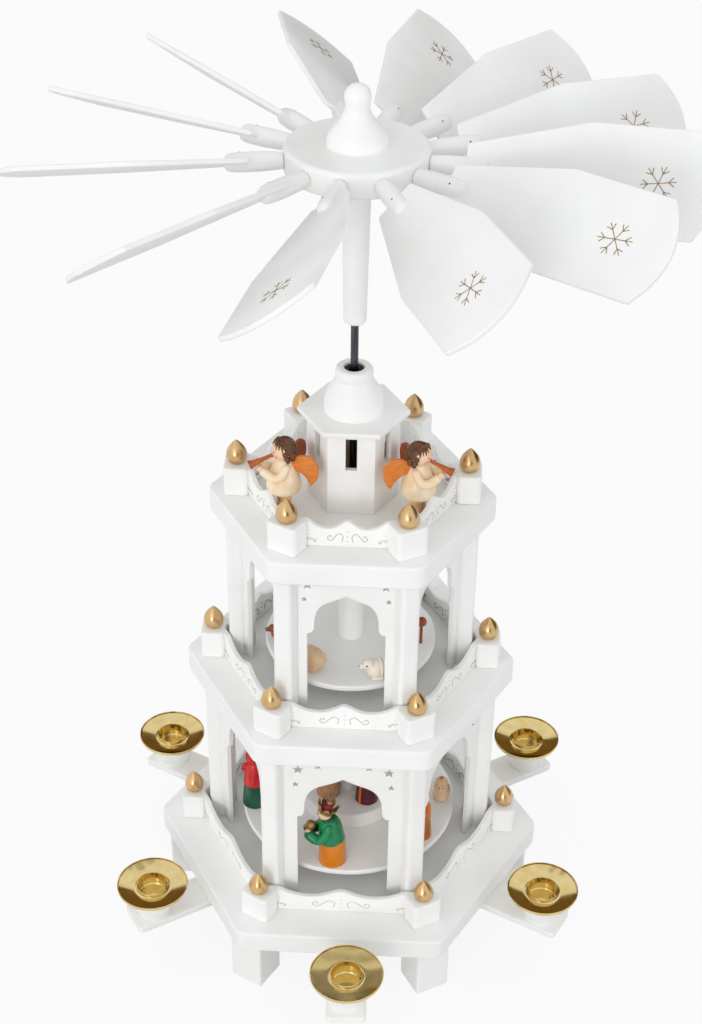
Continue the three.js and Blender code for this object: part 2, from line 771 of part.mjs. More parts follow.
// A standing angel with a trumpet, facing +X: legs, bell dress, head, arms and two wings
function angel() {
  const dressTop = angelLegHeight + angelDressHeight;
  const dressRadius = angelDressDiameter / 2;
  const dress = new THREE.Path();
  dress.moveTo(0, angelLegHeight - 1);
  dress.lineTo(dressRadius * 0.8, angelLegHeight - 1);
  dress.lineTo(dressRadius, angelLegHeight + 1);
  dress.bezierCurveTo(
    dressRadius, angelLegHeight + angelDressHeight * 0.5,
    dressRadius * 0.55, angelLegHeight + angelDressHeight * 0.7,
    dressRadius * 0.4, dressTop,
  );
  dress.lineTo(0, dressTop);
  const legs = [-1, 1].map((side) => {
    const radius = angelLegDiameter / 2;
    const leg = new THREE.CylinderGeometry(radius, radius, angelLegHeight, small).rotateX(Math.PI / 2);
    return leg.translate(0, side * angelLegDiameter * 0.54, angelLegHeight / 2);
  });
  const headLevel = dressTop + angelHeadDiameter * 0.36;
  const head = ball(angelHeadDiameter, 0, 0, headLevel);
  const hairWidth = angelHeadDiameter * 1.05;
  const hair = ellipsoid(hairWidth, hairWidth, angelHeadDiameter * 0.88, 0, 0, headLevel);
  hair.translate(-angelHeadDiameter * 0.12, 0, angelHeadDiameter * 0.17);
  const trumpet = new THREE.Path();
  trumpet.moveTo(0, 0);
  trumpet.lineTo(trumpetDiameter * 0.22, 0);
  trumpet.lineTo(trumpetDiameter * 0.3, trumpetLength * 0.7);
  trumpet.lineTo(trumpetDiameter / 2, trumpetLength);
  trumpet.lineTo(0, trumpetLength);
  const horn = turnedAlongX(trumpet, small).rotateY(degrees(14));
  horn.translate(angelHeadDiameter * 0.42, 0, headLevel - angelHeadDiameter * 0.08);
  const arms = [-1, 1].map((side) => {
    const arm = ellipsoid(angelArm, angelArm * 0.31, angelArm * 0.31, 0, 0, 0, small);
    arm.rotateY(degrees(-14)).rotateZ(degrees(-16 * side));
    return arm.translate(angelArm / 2, side * angelArm * 0.28, dressTop - angelArm * 0.28);
  });
  return join(turned(dress, coarse, 3), ...legs, head, hair, horn, ...arms, ...wings(dressTop));
}

// Two half-moon wings of thin board, spread from the back
function wings(dressTop) {
  const shape = new THREE.Shape();
  const high = wingHeight / 2;
  shape.moveTo(0, -high * 0.3);
  shape.quadraticCurveTo(high * 0.9, -high * 0.2, high * 1.25, -high);
  shape.bezierCurveTo(high * 2.2, 0, high * 1.5, high, high * 0.7, high * 0.9);
  shape.quadraticCurveTo(0, high * 0.8, 0, high * 0.3);
  shape.closePath();
  return [-1, 1].map((side) => {
    const board = standing(shape, wingThickness / 2, wingThickness, 3);
    const back = angelDressDiameter * 0.14;
    board.rotateZ(Math.PI - degrees(38 * side));
    return board.translate(-back, side * back * 0.6, dressTop - high * 0.5);
  });
}

function addAngels() {
  const floor = groupAt(upperTop);
  const angelRing = railBack(upperRailRadius) - angelMargin;
  for (const [name, side] of [['angel_left', -1], ['angel_right', 1]]) {
    const place = {
      azimuth: frontDegrees + side * angelSpreadDegrees,
      facing: frontDegrees + side * angelTurnDegrees,
    };
    stand(name, angel(), cream, floor, angelRing, place);
  }
}

addFeet();
addPlate('base_plate', plateOutline(basePlateRadius), baseTop);
addPlate('middle_plate', withHole(plateOutline(middlePlateRadius), shaftHoleRadius), middleTop);
addPlate('upper_plate', withHole(plateOutline(upperPlateRadius), shaftHoleRadius), upperTop);
addRailing('lower_railing', lowerRailRadius, baseTop);
addRailing('middle_railing', middleRailRadius, middleTop);
addRailing('upper_railing', upperRailRadius, upperTop);
addArcade(
  'lower_arcade', lowerColumnRadius, baseTop,
  lowerStorey, lowerJamb, lowerSpring, lowerArchRise,
);
addArcade(
  'middle_arcade', middleColumnRadius, middleTop,
  middleStorey, middleJamb, middleSpring, middleArchRise,
);
addTower();
addCandleArms();
addPivot();
addAngels();

const rotorGroup = groupAt(0);
addShaft(rotorGroup);
addTurntables(rotorGroup);
addHub(rotorGroup);
addBlades(rotorGroup);
addFigures(rotorGroup);

export default pyramid;
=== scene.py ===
from math import cos, pi, radians, sin, tan, tau

import bmesh
import bpy
from mathutils import Matrix, Vector
from mathutils.geometry import tessellate_polygon


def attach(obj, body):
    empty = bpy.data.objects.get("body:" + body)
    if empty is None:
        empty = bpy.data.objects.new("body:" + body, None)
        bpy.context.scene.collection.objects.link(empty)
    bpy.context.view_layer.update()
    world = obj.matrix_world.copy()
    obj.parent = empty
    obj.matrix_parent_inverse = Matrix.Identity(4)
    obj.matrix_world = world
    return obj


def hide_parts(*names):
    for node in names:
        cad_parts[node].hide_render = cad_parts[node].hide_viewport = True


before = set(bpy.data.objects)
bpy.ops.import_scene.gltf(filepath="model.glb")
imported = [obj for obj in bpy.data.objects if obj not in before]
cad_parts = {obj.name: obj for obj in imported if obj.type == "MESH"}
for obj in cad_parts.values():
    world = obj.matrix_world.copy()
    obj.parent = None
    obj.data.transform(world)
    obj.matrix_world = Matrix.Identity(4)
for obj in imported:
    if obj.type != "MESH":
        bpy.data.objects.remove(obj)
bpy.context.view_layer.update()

# The three floors: hexagonal boards of limewood, sawn out, their corners rounded over, sanded and
# sprayed with white satin lacquer. The columns are glued between them, and the shaft runs
# through holes in the upper two.
MM = 0.001
SIDES = 6
PLATE_THICKNESS = 13.5
PLATE_CORNER = 8.0
PLATE_EASE = 1.2
PLATES = (
    ("base_plate", 112.0, 30.0, 0.0),
    ("middle_plate", 92.0, 154.0, 6.0),
    ("upper_plate", 76.5, 263.0, 6.0),
)
SUPPORT = 0.25


def linear(colour):
    """An sRGB hex colour as linear red, green, blue and alpha."""
    parts = [int(colour[i:i + 2], 16) / 255 for i in (1, 3, 5)]
    return [c / 12.92 if c <= 0.04045 else ((c + 0.055) / 1.055) ** 2.4 for c in parts] + [1.0]


def move(x, y, z):
    """A shift in mm."""
    return Matrix.Translation((x, y, z))


def rotate(angle, axis):
    """A turn in radians."""
    return Matrix.Rotation(angle, 4, axis)


def bare_tree(owner):
    """The emptied node tree of a material or a world."""
    owner.use_nodes = True
    owner.node_tree.nodes.clear()
    return owner.node_tree


def add_node(tree, kind, values=None, result=0, **settings):
    """A new node's output; an input given as a socket is linked, any other is set."""
    node = tree.nodes.new(kind)
    for name, value in settings.items():
        setattr(node, name, value)
    for key, value in (values or {}).items():
        if isinstance(value, bpy.types.NodeSocket):
            tree.links.new(value, node.inputs[key])
        else:
            node.inputs[key].default_value = value
    return node.outputs[result] if node.outputs else None


def surface(name, pale, deep, patch, rough, grit, relief, stretch=(1, 1, 1), **shader):
    """A finish that drifts between two colours over patch mm, with a bump of grit and relief mm."""
    material = bpy.data.materials.new(name)
    tree = bare_tree(material)
    spot = add_node(tree, "ShaderNodeTexCoord", result="Object")
    spot = add_node(tree, "ShaderNodeMapping", {"Vector": spot, "Scale": stretch})
    drift, grain = (
        add_node(tree, "ShaderNodeTexNoise", {"Vector": spot, "Scale": 1 / (mm * MM), "Detail": n})
        for mm, n in ((patch, 3.0), (grit, 2.0))
    )
    share = add_node(tree, "ShaderNodeMapRange", {0: drift, 1: 0.33, 2: 0.67})
    shades = {0: share, 6: linear(deep), 7: linear(pale)}
    colour = add_node(tree, "ShaderNodeMix", shades, 2, data_type="RGBA")
    bump = add_node(tree, "ShaderNodeBump", {"Height": grain, "Distance": relief * MM})
    limits = {0: drift, 1: 0.3, 2: 0.7, 3: rough[0], 4: rough[1]}
    dull = add_node(tree, "ShaderNodeMapRange", limits)
    values = {"Base Color": colour, "Roughness": dull, "Normal": bump, **shader}
    bsdf = add_node(tree, "ShaderNodeBsdfPrincipled", values)
    add_node(tree, "ShaderNodeOutputMaterial", {"Surface": bsdf})
    return material


def rounded(corners, steps=5):
    """An outline through (x, y, radius) corners, each a true arc with a close point either side."""
    line = []
    for i, (x, y, *radius) in enumerate(corners):
        here = Vector((x, y))
        if not radius:
            line.append(here)
            continue
        back = (Vector(corners[i - 1][:2]) - here).normalized()
        ahead = (Vector(corners[(i + 1) % len(corners)][:2]) - here).normalized()
        half = back.angle(ahead) / 2
        reach = radius[0] / tan(half)
        centre = here + (back + ahead).normalized() * radius[0] / sin(half)
        start, end = here + back * reach, here + ahead * reach
        turns = [(start - centre).slerp(end - centre, s / steps) for s in range(steps + 1)]
        arc = [centre + turn * radius[0] for turn in turns]
        line += [start + back * SUPPORT, *arc, end + ahead * SUPPORT]
    return line


def inset(loop, depth):
    """The outline moved to its left by depth: into the wood of an anticlockwise edge."""
    moved = []
    for last, here, following in zip(loop[-1:] + loop[:-1], loop, loop[1:] + loop[:1]):
        a, b = (here - last).normalized(), (following - here).normalized()
        left_a, left_b = Vector((-a.y, a.x)), Vector((-b.y, b.x))
        moved.append(here + (left_a + left_b) * depth / max(1 + left_a.dot(left_b), 0.4))
    return moved


def skin(bm, pairs, slot):
    """Smooth faces between pairs of rings; a ring may be a single point."""
    for lower, upper in pairs:
        steps = max(len(lower), len(upper))
        for j in range(steps):
            k = (j + 1) % steps
            around = (lower[j % len(lower)], lower[k % len(lower)],
                      upper[k % len(upper)], upper[j % len(upper)])
            face = bm.faces.new(list(dict.fromkeys(around)))
            face.smooth, face.material_index = True, slot


def prism(bm, loops, low, high, ease, place=Matrix(), slot=0, low_slot=None):
    """A board: outer loop anticlockwise, holes clockwise, its edges eased by a small radius."""
    arc = [radians(a) for a in (90, 60, 30, 0)]
    edge = [(ease * (1 - cos(a)), ease * (1 - sin(a))) for a in arc]
    edge.append((0.0, ease + SUPPORT))
    levels = [(d, low + h) for d, h in edge] + [(d, high - h) for d, h in reversed(edge)]
    bottom, top, flat = [], [], []
    for loop in loops:
        rings = [
            [bm.verts.new(place @ Vector((p.x, p.y, z)) * MM) for p in inset(loop, d)]
            for d, z in levels
        ]
        skin(bm, zip(rings, rings[1:]), slot)
        bottom += rings[0]
        top += rings[-1]
        flat.append([p.to_3d() for p in inset(loop, ease)])
    points = [p for loop in flat for p in loop]
    for corners in tessellate_polygon(flat):
        a, b, c = (points[i] for i in corners)
        if (b - a).cross(c - a).z < 0:
            corners = corners[::-1]
        bm.faces.new([top[i] for i in corners]).material_index = slot
        under = bm.faces.new([bottom[i] for i in reversed(corners)])
        under.material_index = slot if low_slot is None else low_slot


def circle(radius, steps=32):
    """A hole: a clockwise ring of points."""
    turns = [-tau * s / steps for s in range(steps)]
    return [Vector((radius * cos(t), radius * sin(t))) for t in turns]


def slab(low, high, half, corner):
    """A rectangle along X with rounded corners."""
    return rounded([(low, -half, corner), (high, -half, corner),
                    (high, half, corner), (low, half, corner)])


def hexagon(radius, corner):
    turns = [tau * k / SIDES for k in range(SIDES)]
    return rounded([(radius * cos(t), radius * sin(t), corner) for t in turns], 8)


# Satin lacquer sprayed in thin coats: a soft white with the faintest drift towards grey, a broad
# dull shine, and the fine orange peel that spray leaves, about 1.5 mm from crest to crest.
lacquer = surface(
    "satin lacquered limewood", "#f8f8f6", "#f2f1ee", 38, (0.36, 0.48), 1.5, 0.01, IOR=1.5
)


def placed(name, data):
    """A new object in the scene."""
    made = bpy.data.objects.new(name, data)
    bpy.context.scene.collection.objects.link(made)
    return made


def piece(name, shape, *nodes, finishes=(lacquer,), body="stand", slot="white_lacquer"):
    """A finished piece that rides on a body, in place of the solids named."""
    if isinstance(shape, bmesh.types.BMesh):
        mesh = bpy.data.meshes.new(name)
        shape.to_mesh(mesh)
        shape.free()
    else:
        mesh = shape
        mesh.name = name
        mesh.materials.clear()
    mesh.set_sharp_from_angle(angle=radians(40))
    for finish in finishes:
        mesh.materials.append(finish)
    made = placed(name, mesh)
    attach(made, body)
    if nodes:
        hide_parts(*nodes)


for name, radius, underside, hole in PLATES:
    board = bmesh.new()
    outline = [hexagon(radius, PLATE_CORNER)] + ([circle(hole)] if hole else [])
    prism(board, outline, underside, underside + PLATE_THICKNESS, PLATE_EASE)
    piece(name + "_board", board, name)

# Six square feet of limewood under the corners of the base plate, sawn from one planed bar, with
# their edges broken by sanding, glued on and lacquered with it.
FOOT_WIDTH, FOOT_HEIGHT, FOOT_RADIUS = 20.0, 30.0, 96.0
foot_outline = slab(-FOOT_WIDTH / 2, FOOT_WIDTH / 2, FOOT_WIDTH / 2, 1.5)
for k in range(SIDES):
    place = rotate(tau * k / SIDES, "Z") @ move(FOOT_RADIUS, 0, 0)
    block = bmesh.new()
    prism(block, [foot_outline], 0, FOOT_HEIGHT, 0.8, place)
    piece(f"foot_{k + 1}_block", block, f"foot_{k + 1}")

# Six candle arms: a thin lacquered board screwed flat under the base plate, and at its tip a
# turned cup that widens upwards, bored out for the socket of the brass holder.
CUP_RADIUS, ARM_TURN = 127.49, radians(32.6)
ARM_FROM, ARM_TIP, ARM_WIDTH, ARM_THICKNESS = -65.5, 13.5, 22.0, 4.0
CUP_HEIGHT, CUP_BORE, CUP_BORE_FLOOR = 17.0, 9.95, 9.95


def bent(points, steps):
    """Points along a Bezier curve of any order, without its first."""
    line = []
    for s in range(1, steps + 1):
        level = [Vector(p) for p in points]
        while len(level) > 1:
            level = [a.lerp(b, s / steps) for a, b in zip(level, level[1:])]
        line.append(level[0])
    return line


def lathe(bm, profile, place=Matrix(), slot=0, steps=48):
    """A turned shape about local Z: (radius, height) points, drawn upwards on the outside."""
    turns = [tau * s / steps for s in range(steps)]
    rings = []
    for radius, height in profile:
        spots = [(0, 0)] if radius < 1e-4 else [(cos(t), sin(t)) for t in turns]
        ring = [place @ Vector((radius * x, radius * y, height)) * MM for x, y in spots]
        rings.append([bm.verts.new(point) for point in ring])
    pairs = list(zip(rings, rings[1:]))
    if profile[0][0] > 1e-4:
        pairs.append((rings[-1], rings[0]))
    skin(bm, pairs, slot)


def turned(name, profile, *nodes, place=Matrix(), steps=48, **more):
    """A piece made of one turned shape."""
    shape = bmesh.new()
    lathe(shape, profile, place, steps=steps)
    piece(name, shape, *nodes, **more)


arm_outline = slab(ARM_FROM, ARM_TIP, ARM_WIDTH / 2, 2.5)
cup_side = [(9.0, 0.0)] + bent([(9.0, 0.0), (12.0, 6.5), (13.4, CUP_HEIGHT - 0.8)], 10)
cup_profile = [(0.0, 0.0), (8.7, 0.0), *cup_side, (13.2, CUP_HEIGHT - 0.2), (12.9, CUP_HEIGHT),
               (CUP_BORE, CUP_HEIGHT), (CUP_BORE, CUP_BORE_FLOOR), (0.0, CUP_BORE_FLOOR)]
arm_places = [
    rotate(ARM_TURN + tau * k / SIDES, "Z") @ move(CUP_RADIUS, 0, FOOT_HEIGHT)
    for k in range(SIDES)
]
for k, place in enumerate(arm_places):
    board = bmesh.new()
    prism(board, [arm_outline], -ARM_THICKNESS, 0, 0.7, place)
    node = f"candle_arm_{k + 1}"
    piece(node + "_board", board, node)
    turned(node + "_cup", cup_profile, place=place)

# Six candle holders pressed from sheet brass and polished: a drip dish that rises to a rolled rim,
# a low collar, and the socket that takes the candle and sits in the bore of the wooden cup.
DISH_RADIUS, SOCKET_RADIUS, SOCKET_OUTSIDE = 20.0, 8.4, 9.65
# Polished brass is a mirror with a yellow tint: it takes its pattern from the room, with faint
# polishing haze in patches of a few millimetres.
brass = surface("polished brass", "#e3cd95", "#d8bf80", 6, (0.08, 0.14), 0.8, 0.001, Metallic=1.0)
dish_top = [(19.1, 2.75)] + bent([(19.1, 2.75), (16.0, 1.9), (12.5, 1.2), (10.4, 0.95)], 12)
dish_under = bent([(9.9, 0.0), (12.5, 0.2), (16.0, 0.9), (19.3, 1.7)], 12)
holder_profile = [
    (0.0, -6.7), (9.3, -6.7), (SOCKET_OUTSIDE, -6.3), (SOCKET_OUTSIDE, 0.0), *dish_under,
    (19.75, 1.95), (DISH_RADIUS, 2.5), (DISH_RADIUS, 3.3), (19.88, 3.6), (19.65, 3.72),
    (19.4, 3.6), (19.28, 3.3), *dish_top, (9.6, 1.0), (9.2, 1.25), (9.12, 1.7), (9.12, 2.5),
    (9.0, 2.85), (8.75, 3.0), (8.5, 2.9), (SOCKET_RADIUS, 2.5), (SOCKET_RADIUS, -5.0),
    (SOCKET_RADIUS - 0.5, -5.5), (0.0, -5.5),
]
for k, place in enumerate(arm_places):
    node = f"candle_holder_{k + 1}"
    turned(node + "_dish", holder_profile, node, place=place @ move(0, 0, CUP_HEIGHT), steps=72,
           finishes=[brass], slot="brass")

# Three railings, one on each floor: six posts glued to the floor, and between them six thin fence
# boards, their tops sawn in two dips with a peak between. All lacquered white.
FLOORS = {"lower": 43.5, "middle": 167.5, "upper": 276.5}
POST_RADIUS = {"lower": 91.5, "middle": 76.0, "upper": 60.5}
FENCE_BACK = {"lower": 74.11, "middle": 60.69, "upper": 47.27}
FENCE_HALF = {"lower": 41.52, "middle": 33.77, "upper": 26.02}
FENCE_THICKNESS, FENCE_TOP, FENCE_DIP, DIP_FROM_END = 3.0, 15.5, 10.5, 5.5
POST_WIDTH, POST_DEPTH, POST_HEIGHT = 17.5, 13.0, 16.5
UPRIGHT = rotate(pi / 2, "X")


def geometry_tree(name, label, kind):
    """A tree of geometry nodes with one input of its own, a finish, and a Geometry output."""
    tree = bpy.data.node_groups.new(name, "GeometryNodeTree")
    tree.interface.new_socket("Geometry", in_out="INPUT", socket_type="NodeSocketGeometry")
    tree.interface.new_socket(label, in_out="INPUT", socket_type=kind)
    tree.interface.new_socket("Finish", in_out="INPUT", socket_type="NodeSocketMaterial")
    tree.interface.new_socket("Geometry", in_out="OUTPUT", socket_type="NodeSocketGeometry")
    return tree, add_node(tree, "NodeGroupInput").node.outputs


def close_tree(tree, shape, finish):
    """The end of a tree: the shape made real and given its finish."""
    solid = add_node(tree, "GeometryNodeRealizeInstances", {"Geometry": shape})
    done = add_node(tree, "GeometryNodeSetMaterial", {"Geometry": solid, "Material": finish})
    add_node(tree, "NodeGroupOutput", {"Geometry": done})


def grown(shape, tree, **inputs):
    """The plain mesh that a tree of geometry nodes makes of a shape."""
    mesh = bpy.data.meshes.new("pattern")
    shape.to_mesh(mesh)
    shape.free()
    pattern = placed("pattern", mesh)
    modifier = pattern.modifiers.new("growth", "NODES")
    modifier.node_group = tree
    for item in tree.interface.items_tree:
        if item.in_out == "INPUT" and item.name in inputs:
            modifier[item.identifier] = inputs[item.name]
    depsgraph = bpy.context.evaluated_depsgraph_get()
    result = bpy.data.meshes.new_from_object(
        pattern.evaluated_get(depsgraph), preserve_all_data_layers=True, depsgraph=depsgraph
    )
    bpy.data.objects.remove(pattern)
    return result


round_shaft, given = geometry_tree("copies_round_the_shaft", "Copies", "NodeSocketInt")
spots = add_node(round_shaft, "GeometryNodePoints", {"Count": given["Copies"]})
number = add_node(round_shaft, "GeometryNodeInputIndex")
share = add_node(round_shaft, "ShaderNodeMath", {0: number, 1: given["Copies"]}, operation="DIVIDE")
angle = add_node(round_shaft, "ShaderNodeMath", {0: share, 1: tau}, operation="MULTIPLY")
about = {"Axis": (0, 0, 1), "Angle": angle}
turn = add_node(round_shaft, "FunctionNodeAxisAngleToRotation", about)
ring = {"Points": spots, "Instance": given["Geometry"], "Rotation": turn}
copies = add_node(round_shaft, "GeometryNodeInstanceOnPoints", ring)
close_tree(round_shaft, copies, given["Finish"])


def ringed(name, shape, *nodes, finish=lacquer, slot="white_lacquer"):
    """Six copies of a shape round the shaft, as one piece of the stand."""
    ring = grown(shape, round_shaft, Copies=SIDES, Finish=finish)
    piece(name, ring, *nodes, finishes=[finish], slot=slot)


def smooth(points, steps=6):
    """Points on a soft curve through the given ones."""
    knots = [Vector(p) for p in points]
    knots = [2 * knots[0] - knots[1], *knots, 2 * knots[-1] - knots[-2]]
    line = [knots[1]]
    for a, b, c, d in zip(knots, knots[1:], knots[2:], knots[3:]):
        for s in range(1, steps + 1):
            t = s / steps
            line.append(0.5 * (2 * b + (c - a) * t + (2 * a - 5 * b + 4 * c - d) * t ** 2
                               + (3 * b - a - 3 * c + d) * t ** 3))
    return line


def fence_outline(half, dip_end):
    """The fence board's edge: straight foot and ends, two dips and a soft peak on top."""
    drop = FENCE_TOP - FENCE_DIP
    scallop = smooth([(1.0, 0.0), (0.93, 0.14), (0.8, 0.58), (0.65, 0.9), (0.48, 1.0),
                      (0.32, 0.86), (0.18, 0.5), (0.07, 0.15), (0.0, 0.04)], 4)
    right = [Vector((x * dip_end, FENCE_TOP - y * drop)) for x, y in scallop]
    left = [Vector((-p.x, p.y)) for p in reversed(right[:-1])]
    ends = [Vector((-half, 0)), Vector((half, 0)), Vector((half, FENCE_TOP))]
    return ends + right + left + [Vector((-half, FENCE_TOP))]


for tier, floor in FLOORS.items():
    inner, outer = POST_RADIUS[tier] - POST_DEPTH / 2, POST_RADIUS[tier] + POST_DEPTH / 2
    post = bmesh.new()
    prism(post, [slab(inner, outer, POST_WIDTH / 2, 2.5)], floor, floor + POST_HEIGHT, 1.0)
    ringed(f"{tier}_railing_posts", post, f"{tier}_railing")

    fence = bmesh.new()
    outline = fence_outline(FENCE_HALF[tier], FENCE_HALF[tier] - DIP_FROM_END)
    back = FENCE_BACK[tier]
    lift = move(0, 0, floor) @ UPRIGHT
    prism(fence, [outline], back, back + FENCE_THICKNESS, 0.6, lift)
    ringed(f"{tier}_railing_fence", fence)

# The scrolls and dots on both faces of the fence boards are burnt in by a laser: shallow lines
# about half a millimetre wide, grey-brown at the bottom of the cut.
LINE_WIDTH, LINE_SUNK, CURL_FROM_END = 0.45, 0.12, 7.0
# Scorched lacquer: dull warm grey, darker where the beam was slow, in specks under a millimetre.
scorched = surface("scorched lacquer", "#b9b5ae", "#8e8982", 0.9, (0.6, 0.8), 0.4, 0.02, IOR=1.45)

engraved, given = geometry_tree("engraved_lines", "Width", "NodeSocketFloat")
path = add_node(engraved, "GeometryNodeMeshToCurve", {"Mesh": given["Geometry"]})
reach = add_node(engraved, "ShaderNodeMath", {0: given["Width"], 1: 0.5}, operation="MULTIPLY")
groove = add_node(engraved, "GeometryNodeCurvePrimitiveCircle", {"Resolution": 6, "Radius": reach})
swept = {"Curve": path, "Profile Curve": groove, "Fill Caps": True}
line = add_node(engraved, "GeometryNodeCurveToMesh", swept)
close_tree(engraved, line, given["Finish"])


def draw(bm, points, place):
    """An open line of edges through flat points."""
    dots = [bm.verts.new(place @ Vector((x, y, 0)) * MM) for x, y in points]
    for a, b in zip(dots, dots[1:]):
        bm.edges.new((a, b))


SCROLL_HALF = {"lower": 16.0, "middle": 13.0, "upper": 10.0}
scroll = [(0.275, 3.6), (0.22, 6.4), (0.3, 7.9), (0.4, 8.5), (0.54, 7.6), (0.8, 4.3), (0.91, 4.3),
          (1.0, 5.7), (0.91, 7.3), (0.82, 6.9), (0.855, 6.1)]
dots = [(0.0, 3.5), (0.0, 6.4), (0.0, 9.4)]
curl = [(0.6, 4.2), (0.9, 5.4), (2.1, 5.2), (3.3, 3.4), (4.2, 3.6), (4.2, 4.8), (3.4, 4.9)]
for tier, floor in FLOORS.items():
    lines = bmesh.new()
    for face, spin in ((FENCE_BACK[tier] + FENCE_THICKNESS - LINE_SUNK, 0),
                       (LINE_SUNK - FENCE_BACK[tier], pi)):
        place = move(0, 0, floor) @ rotate(spin, "Z") @ UPRIGHT @ move(0, 0, face)
        wide = SCROLL_HALF[tier]
        corner = FENCE_HALF[tier] - CURL_FROM_END
        for side in (-1, 1):
            draw(lines, smooth([(side * x * wide, y - 0.4) for x, y in scroll], 4), place)
            for mirror in (-1, 1):
                small = [(side * corner + 0.75 * mirror * x, y - 0.6) for x, y in curl]
                draw(lines, smooth(small, 3), place)
            for x, y in ((side * corner, 5.4), (side * corner, 7.4), (side * corner, 9.6)):
                draw(lines, [(x, y), (x, y + 0.5)], place)
        for x, y in dots:
            draw(lines, [(x, y - 0.5), (x, y + 0.4)], place)
    marks = bmesh.new()
    marks.from_mesh(grown(lines, engraved, Width=LINE_WIDTH * MM, Finish=scorched))
    ringed(f"{tier}_railing_scrolls", marks, finish=scorched)

# Eighteen onion finials, one on each post: turned from beech, dipped in gold-bronze lacquer and
# pegged into the wood.
FINIAL_RADIUS, FINIAL_HEIGHT = 5.45, 13.0
# Bronze powder in lacquer: a soft metallic shine that goes from pale gold in the light to brown at
# the edges, a little uneven where the lacquer ran, in patches of about 9 mm.
gold_bronze = surface(
    "gold-bronze lacquer", "#ddbb8a", "#cfaa77", 9, (0.26, 0.34), 0.6, 0.003, Metallic=1.0
)
onion = [(0.68, 0.0), (0.86, 0.07), (0.98, 0.2), (1.0, 0.34), (0.93, 0.5), (0.74, 0.66),
         (0.48, 0.8), (0.22, 0.92), (0.06, 0.985)]
onion = [(0.0, 0.0)] + [(r * FINIAL_RADIUS, z * FINIAL_HEIGHT) for r, z in smooth(onion, 3)]
onion.append((0.0, FINIAL_HEIGHT))
for tier, floor in FLOORS.items():
    finial = bmesh.new()
    lathe(finial, onion, move(POST_RADIUS[tier], 0, floor + POST_HEIGHT), steps=32)
    ringed(f"{tier}_railing_finials", finial, finish=gold_bronze, slot="brass")

# Two arcades that carry the floors: six columns with rounded edges, and between them six thin
# boards, each sawn with a pointed arch that stands open to the floor, and with stars cut through
# above it.
COLUMN_WIDTH, COLUMN_DEPTH = 11.0, 9.0
ARCH_THICKNESS = 3.0
ARCADES = {
    "lower": dict(radius=77.4, height=110.5, face=66.42, half=35.35, open=25.0, arch=21.3,
                  spring=61.5, foot=66.5, rise=23.5,
                  stars=[(24.5, 96.0, 3.3), (26.0, 85.2, 2.1), (13.8, 99.0, 2.5)]),
    "middle": dict(radius=62.6, height=95.5, face=53.0, half=27.6, open=20.3, arch=16.6,
                   spring=55.0, foot=60.0, rise=20.0,
                   stars=[(20.0, 86.2, 2.8), (21.7, 77.0, 1.8), (11.3, 89.0, 2.1)]),
}


def star(x, y, radius):
    """A five-pointed hole, drawn clockwise from its top."""
    turns = [pi / 2 - pi * k / 5 for k in range(10)]
    reach = [radius if k % 2 == 0 else radius * 0.42 for k in range(10)]
    return [Vector((x + r * cos(t), y + r * sin(t))) for r, t in zip(reach, turns)]


def arch_outline(a):
    """The arch board's edge, anticlockwise from its left foot."""
    arch, foot, rise, spring = a["arch"], a["foot"], a["rise"], a["spring"]
    shoulder = (-0.54 * arch, foot + 0.775 * rise)
    rising = [Vector((-a["open"], spring))]
    rising += bent([(-a["open"], spring), (-arch, spring), (-arch, foot)], 5)
    rising += bent([(-arch, foot), (-arch, foot + 0.5 * rise),
                    (-0.82 * arch, foot + 0.68 * rise), shoulder], 10)
    rising += bent([shoulder, (-0.2 * arch, foot + 0.885 * rise), (0, foot + rise)], 5)
    falling = [Vector((-p.x, p.y)) for p in reversed(rising[:-1])]
    left, right = Vector((-a["half"], 0)), Vector((a["half"], 0))
    feet = [left, Vector((-a["open"], 0)), *rising, *falling, Vector((a["open"], 0)), right]
    return feet + [Vector((a["half"], a["height"])), Vector((-a["half"], a["height"]))]


for tier, a in ARCADES.items():
    floor = FLOORS[tier]
    column = bmesh.new()
    inner, outer = a["radius"] - COLUMN_DEPTH / 2, a["radius"] + COLUMN_DEPTH / 2
    prism(column, [slab(inner, outer, COLUMN_WIDTH / 2, 2.5)], floor, floor + a["height"], 0.2)
    ringed(f"{tier}_arcade_columns", column, f"{tier}_arcade")

    board = bmesh.new()
    stars = [star(side * x, y, r) for x, y, r in a["stars"] for side in (-1, 1)]
    lift = move(0, 0, floor) @ UPRIGHT
    prism(board, [arch_outline(a), *stars], a["face"] - ARCH_THICKNESS, a["face"], 0.4, lift)
    ringed(f"{tier}_arcade_arches", board)

# The tower on the upper floor: six boards glued edge to edge, each with a slit window, under a
# hexagonal roof board. Only its outside is lacquered; inside it is bare wood.
TOWER_FACE, TOWER_HALF, TOWER_WALL, TOWER_HEIGHT = 20.78, 12.0, 3.0, 48.25
WINDOW_HALF, WINDOW_SILL, WINDOW_HEAD = 2.9, 26.5, 45.0
ROOF_RADIUS, ROOF_THICKNESS, ROOF_HOLE = 29.0, 2.75, 6.0
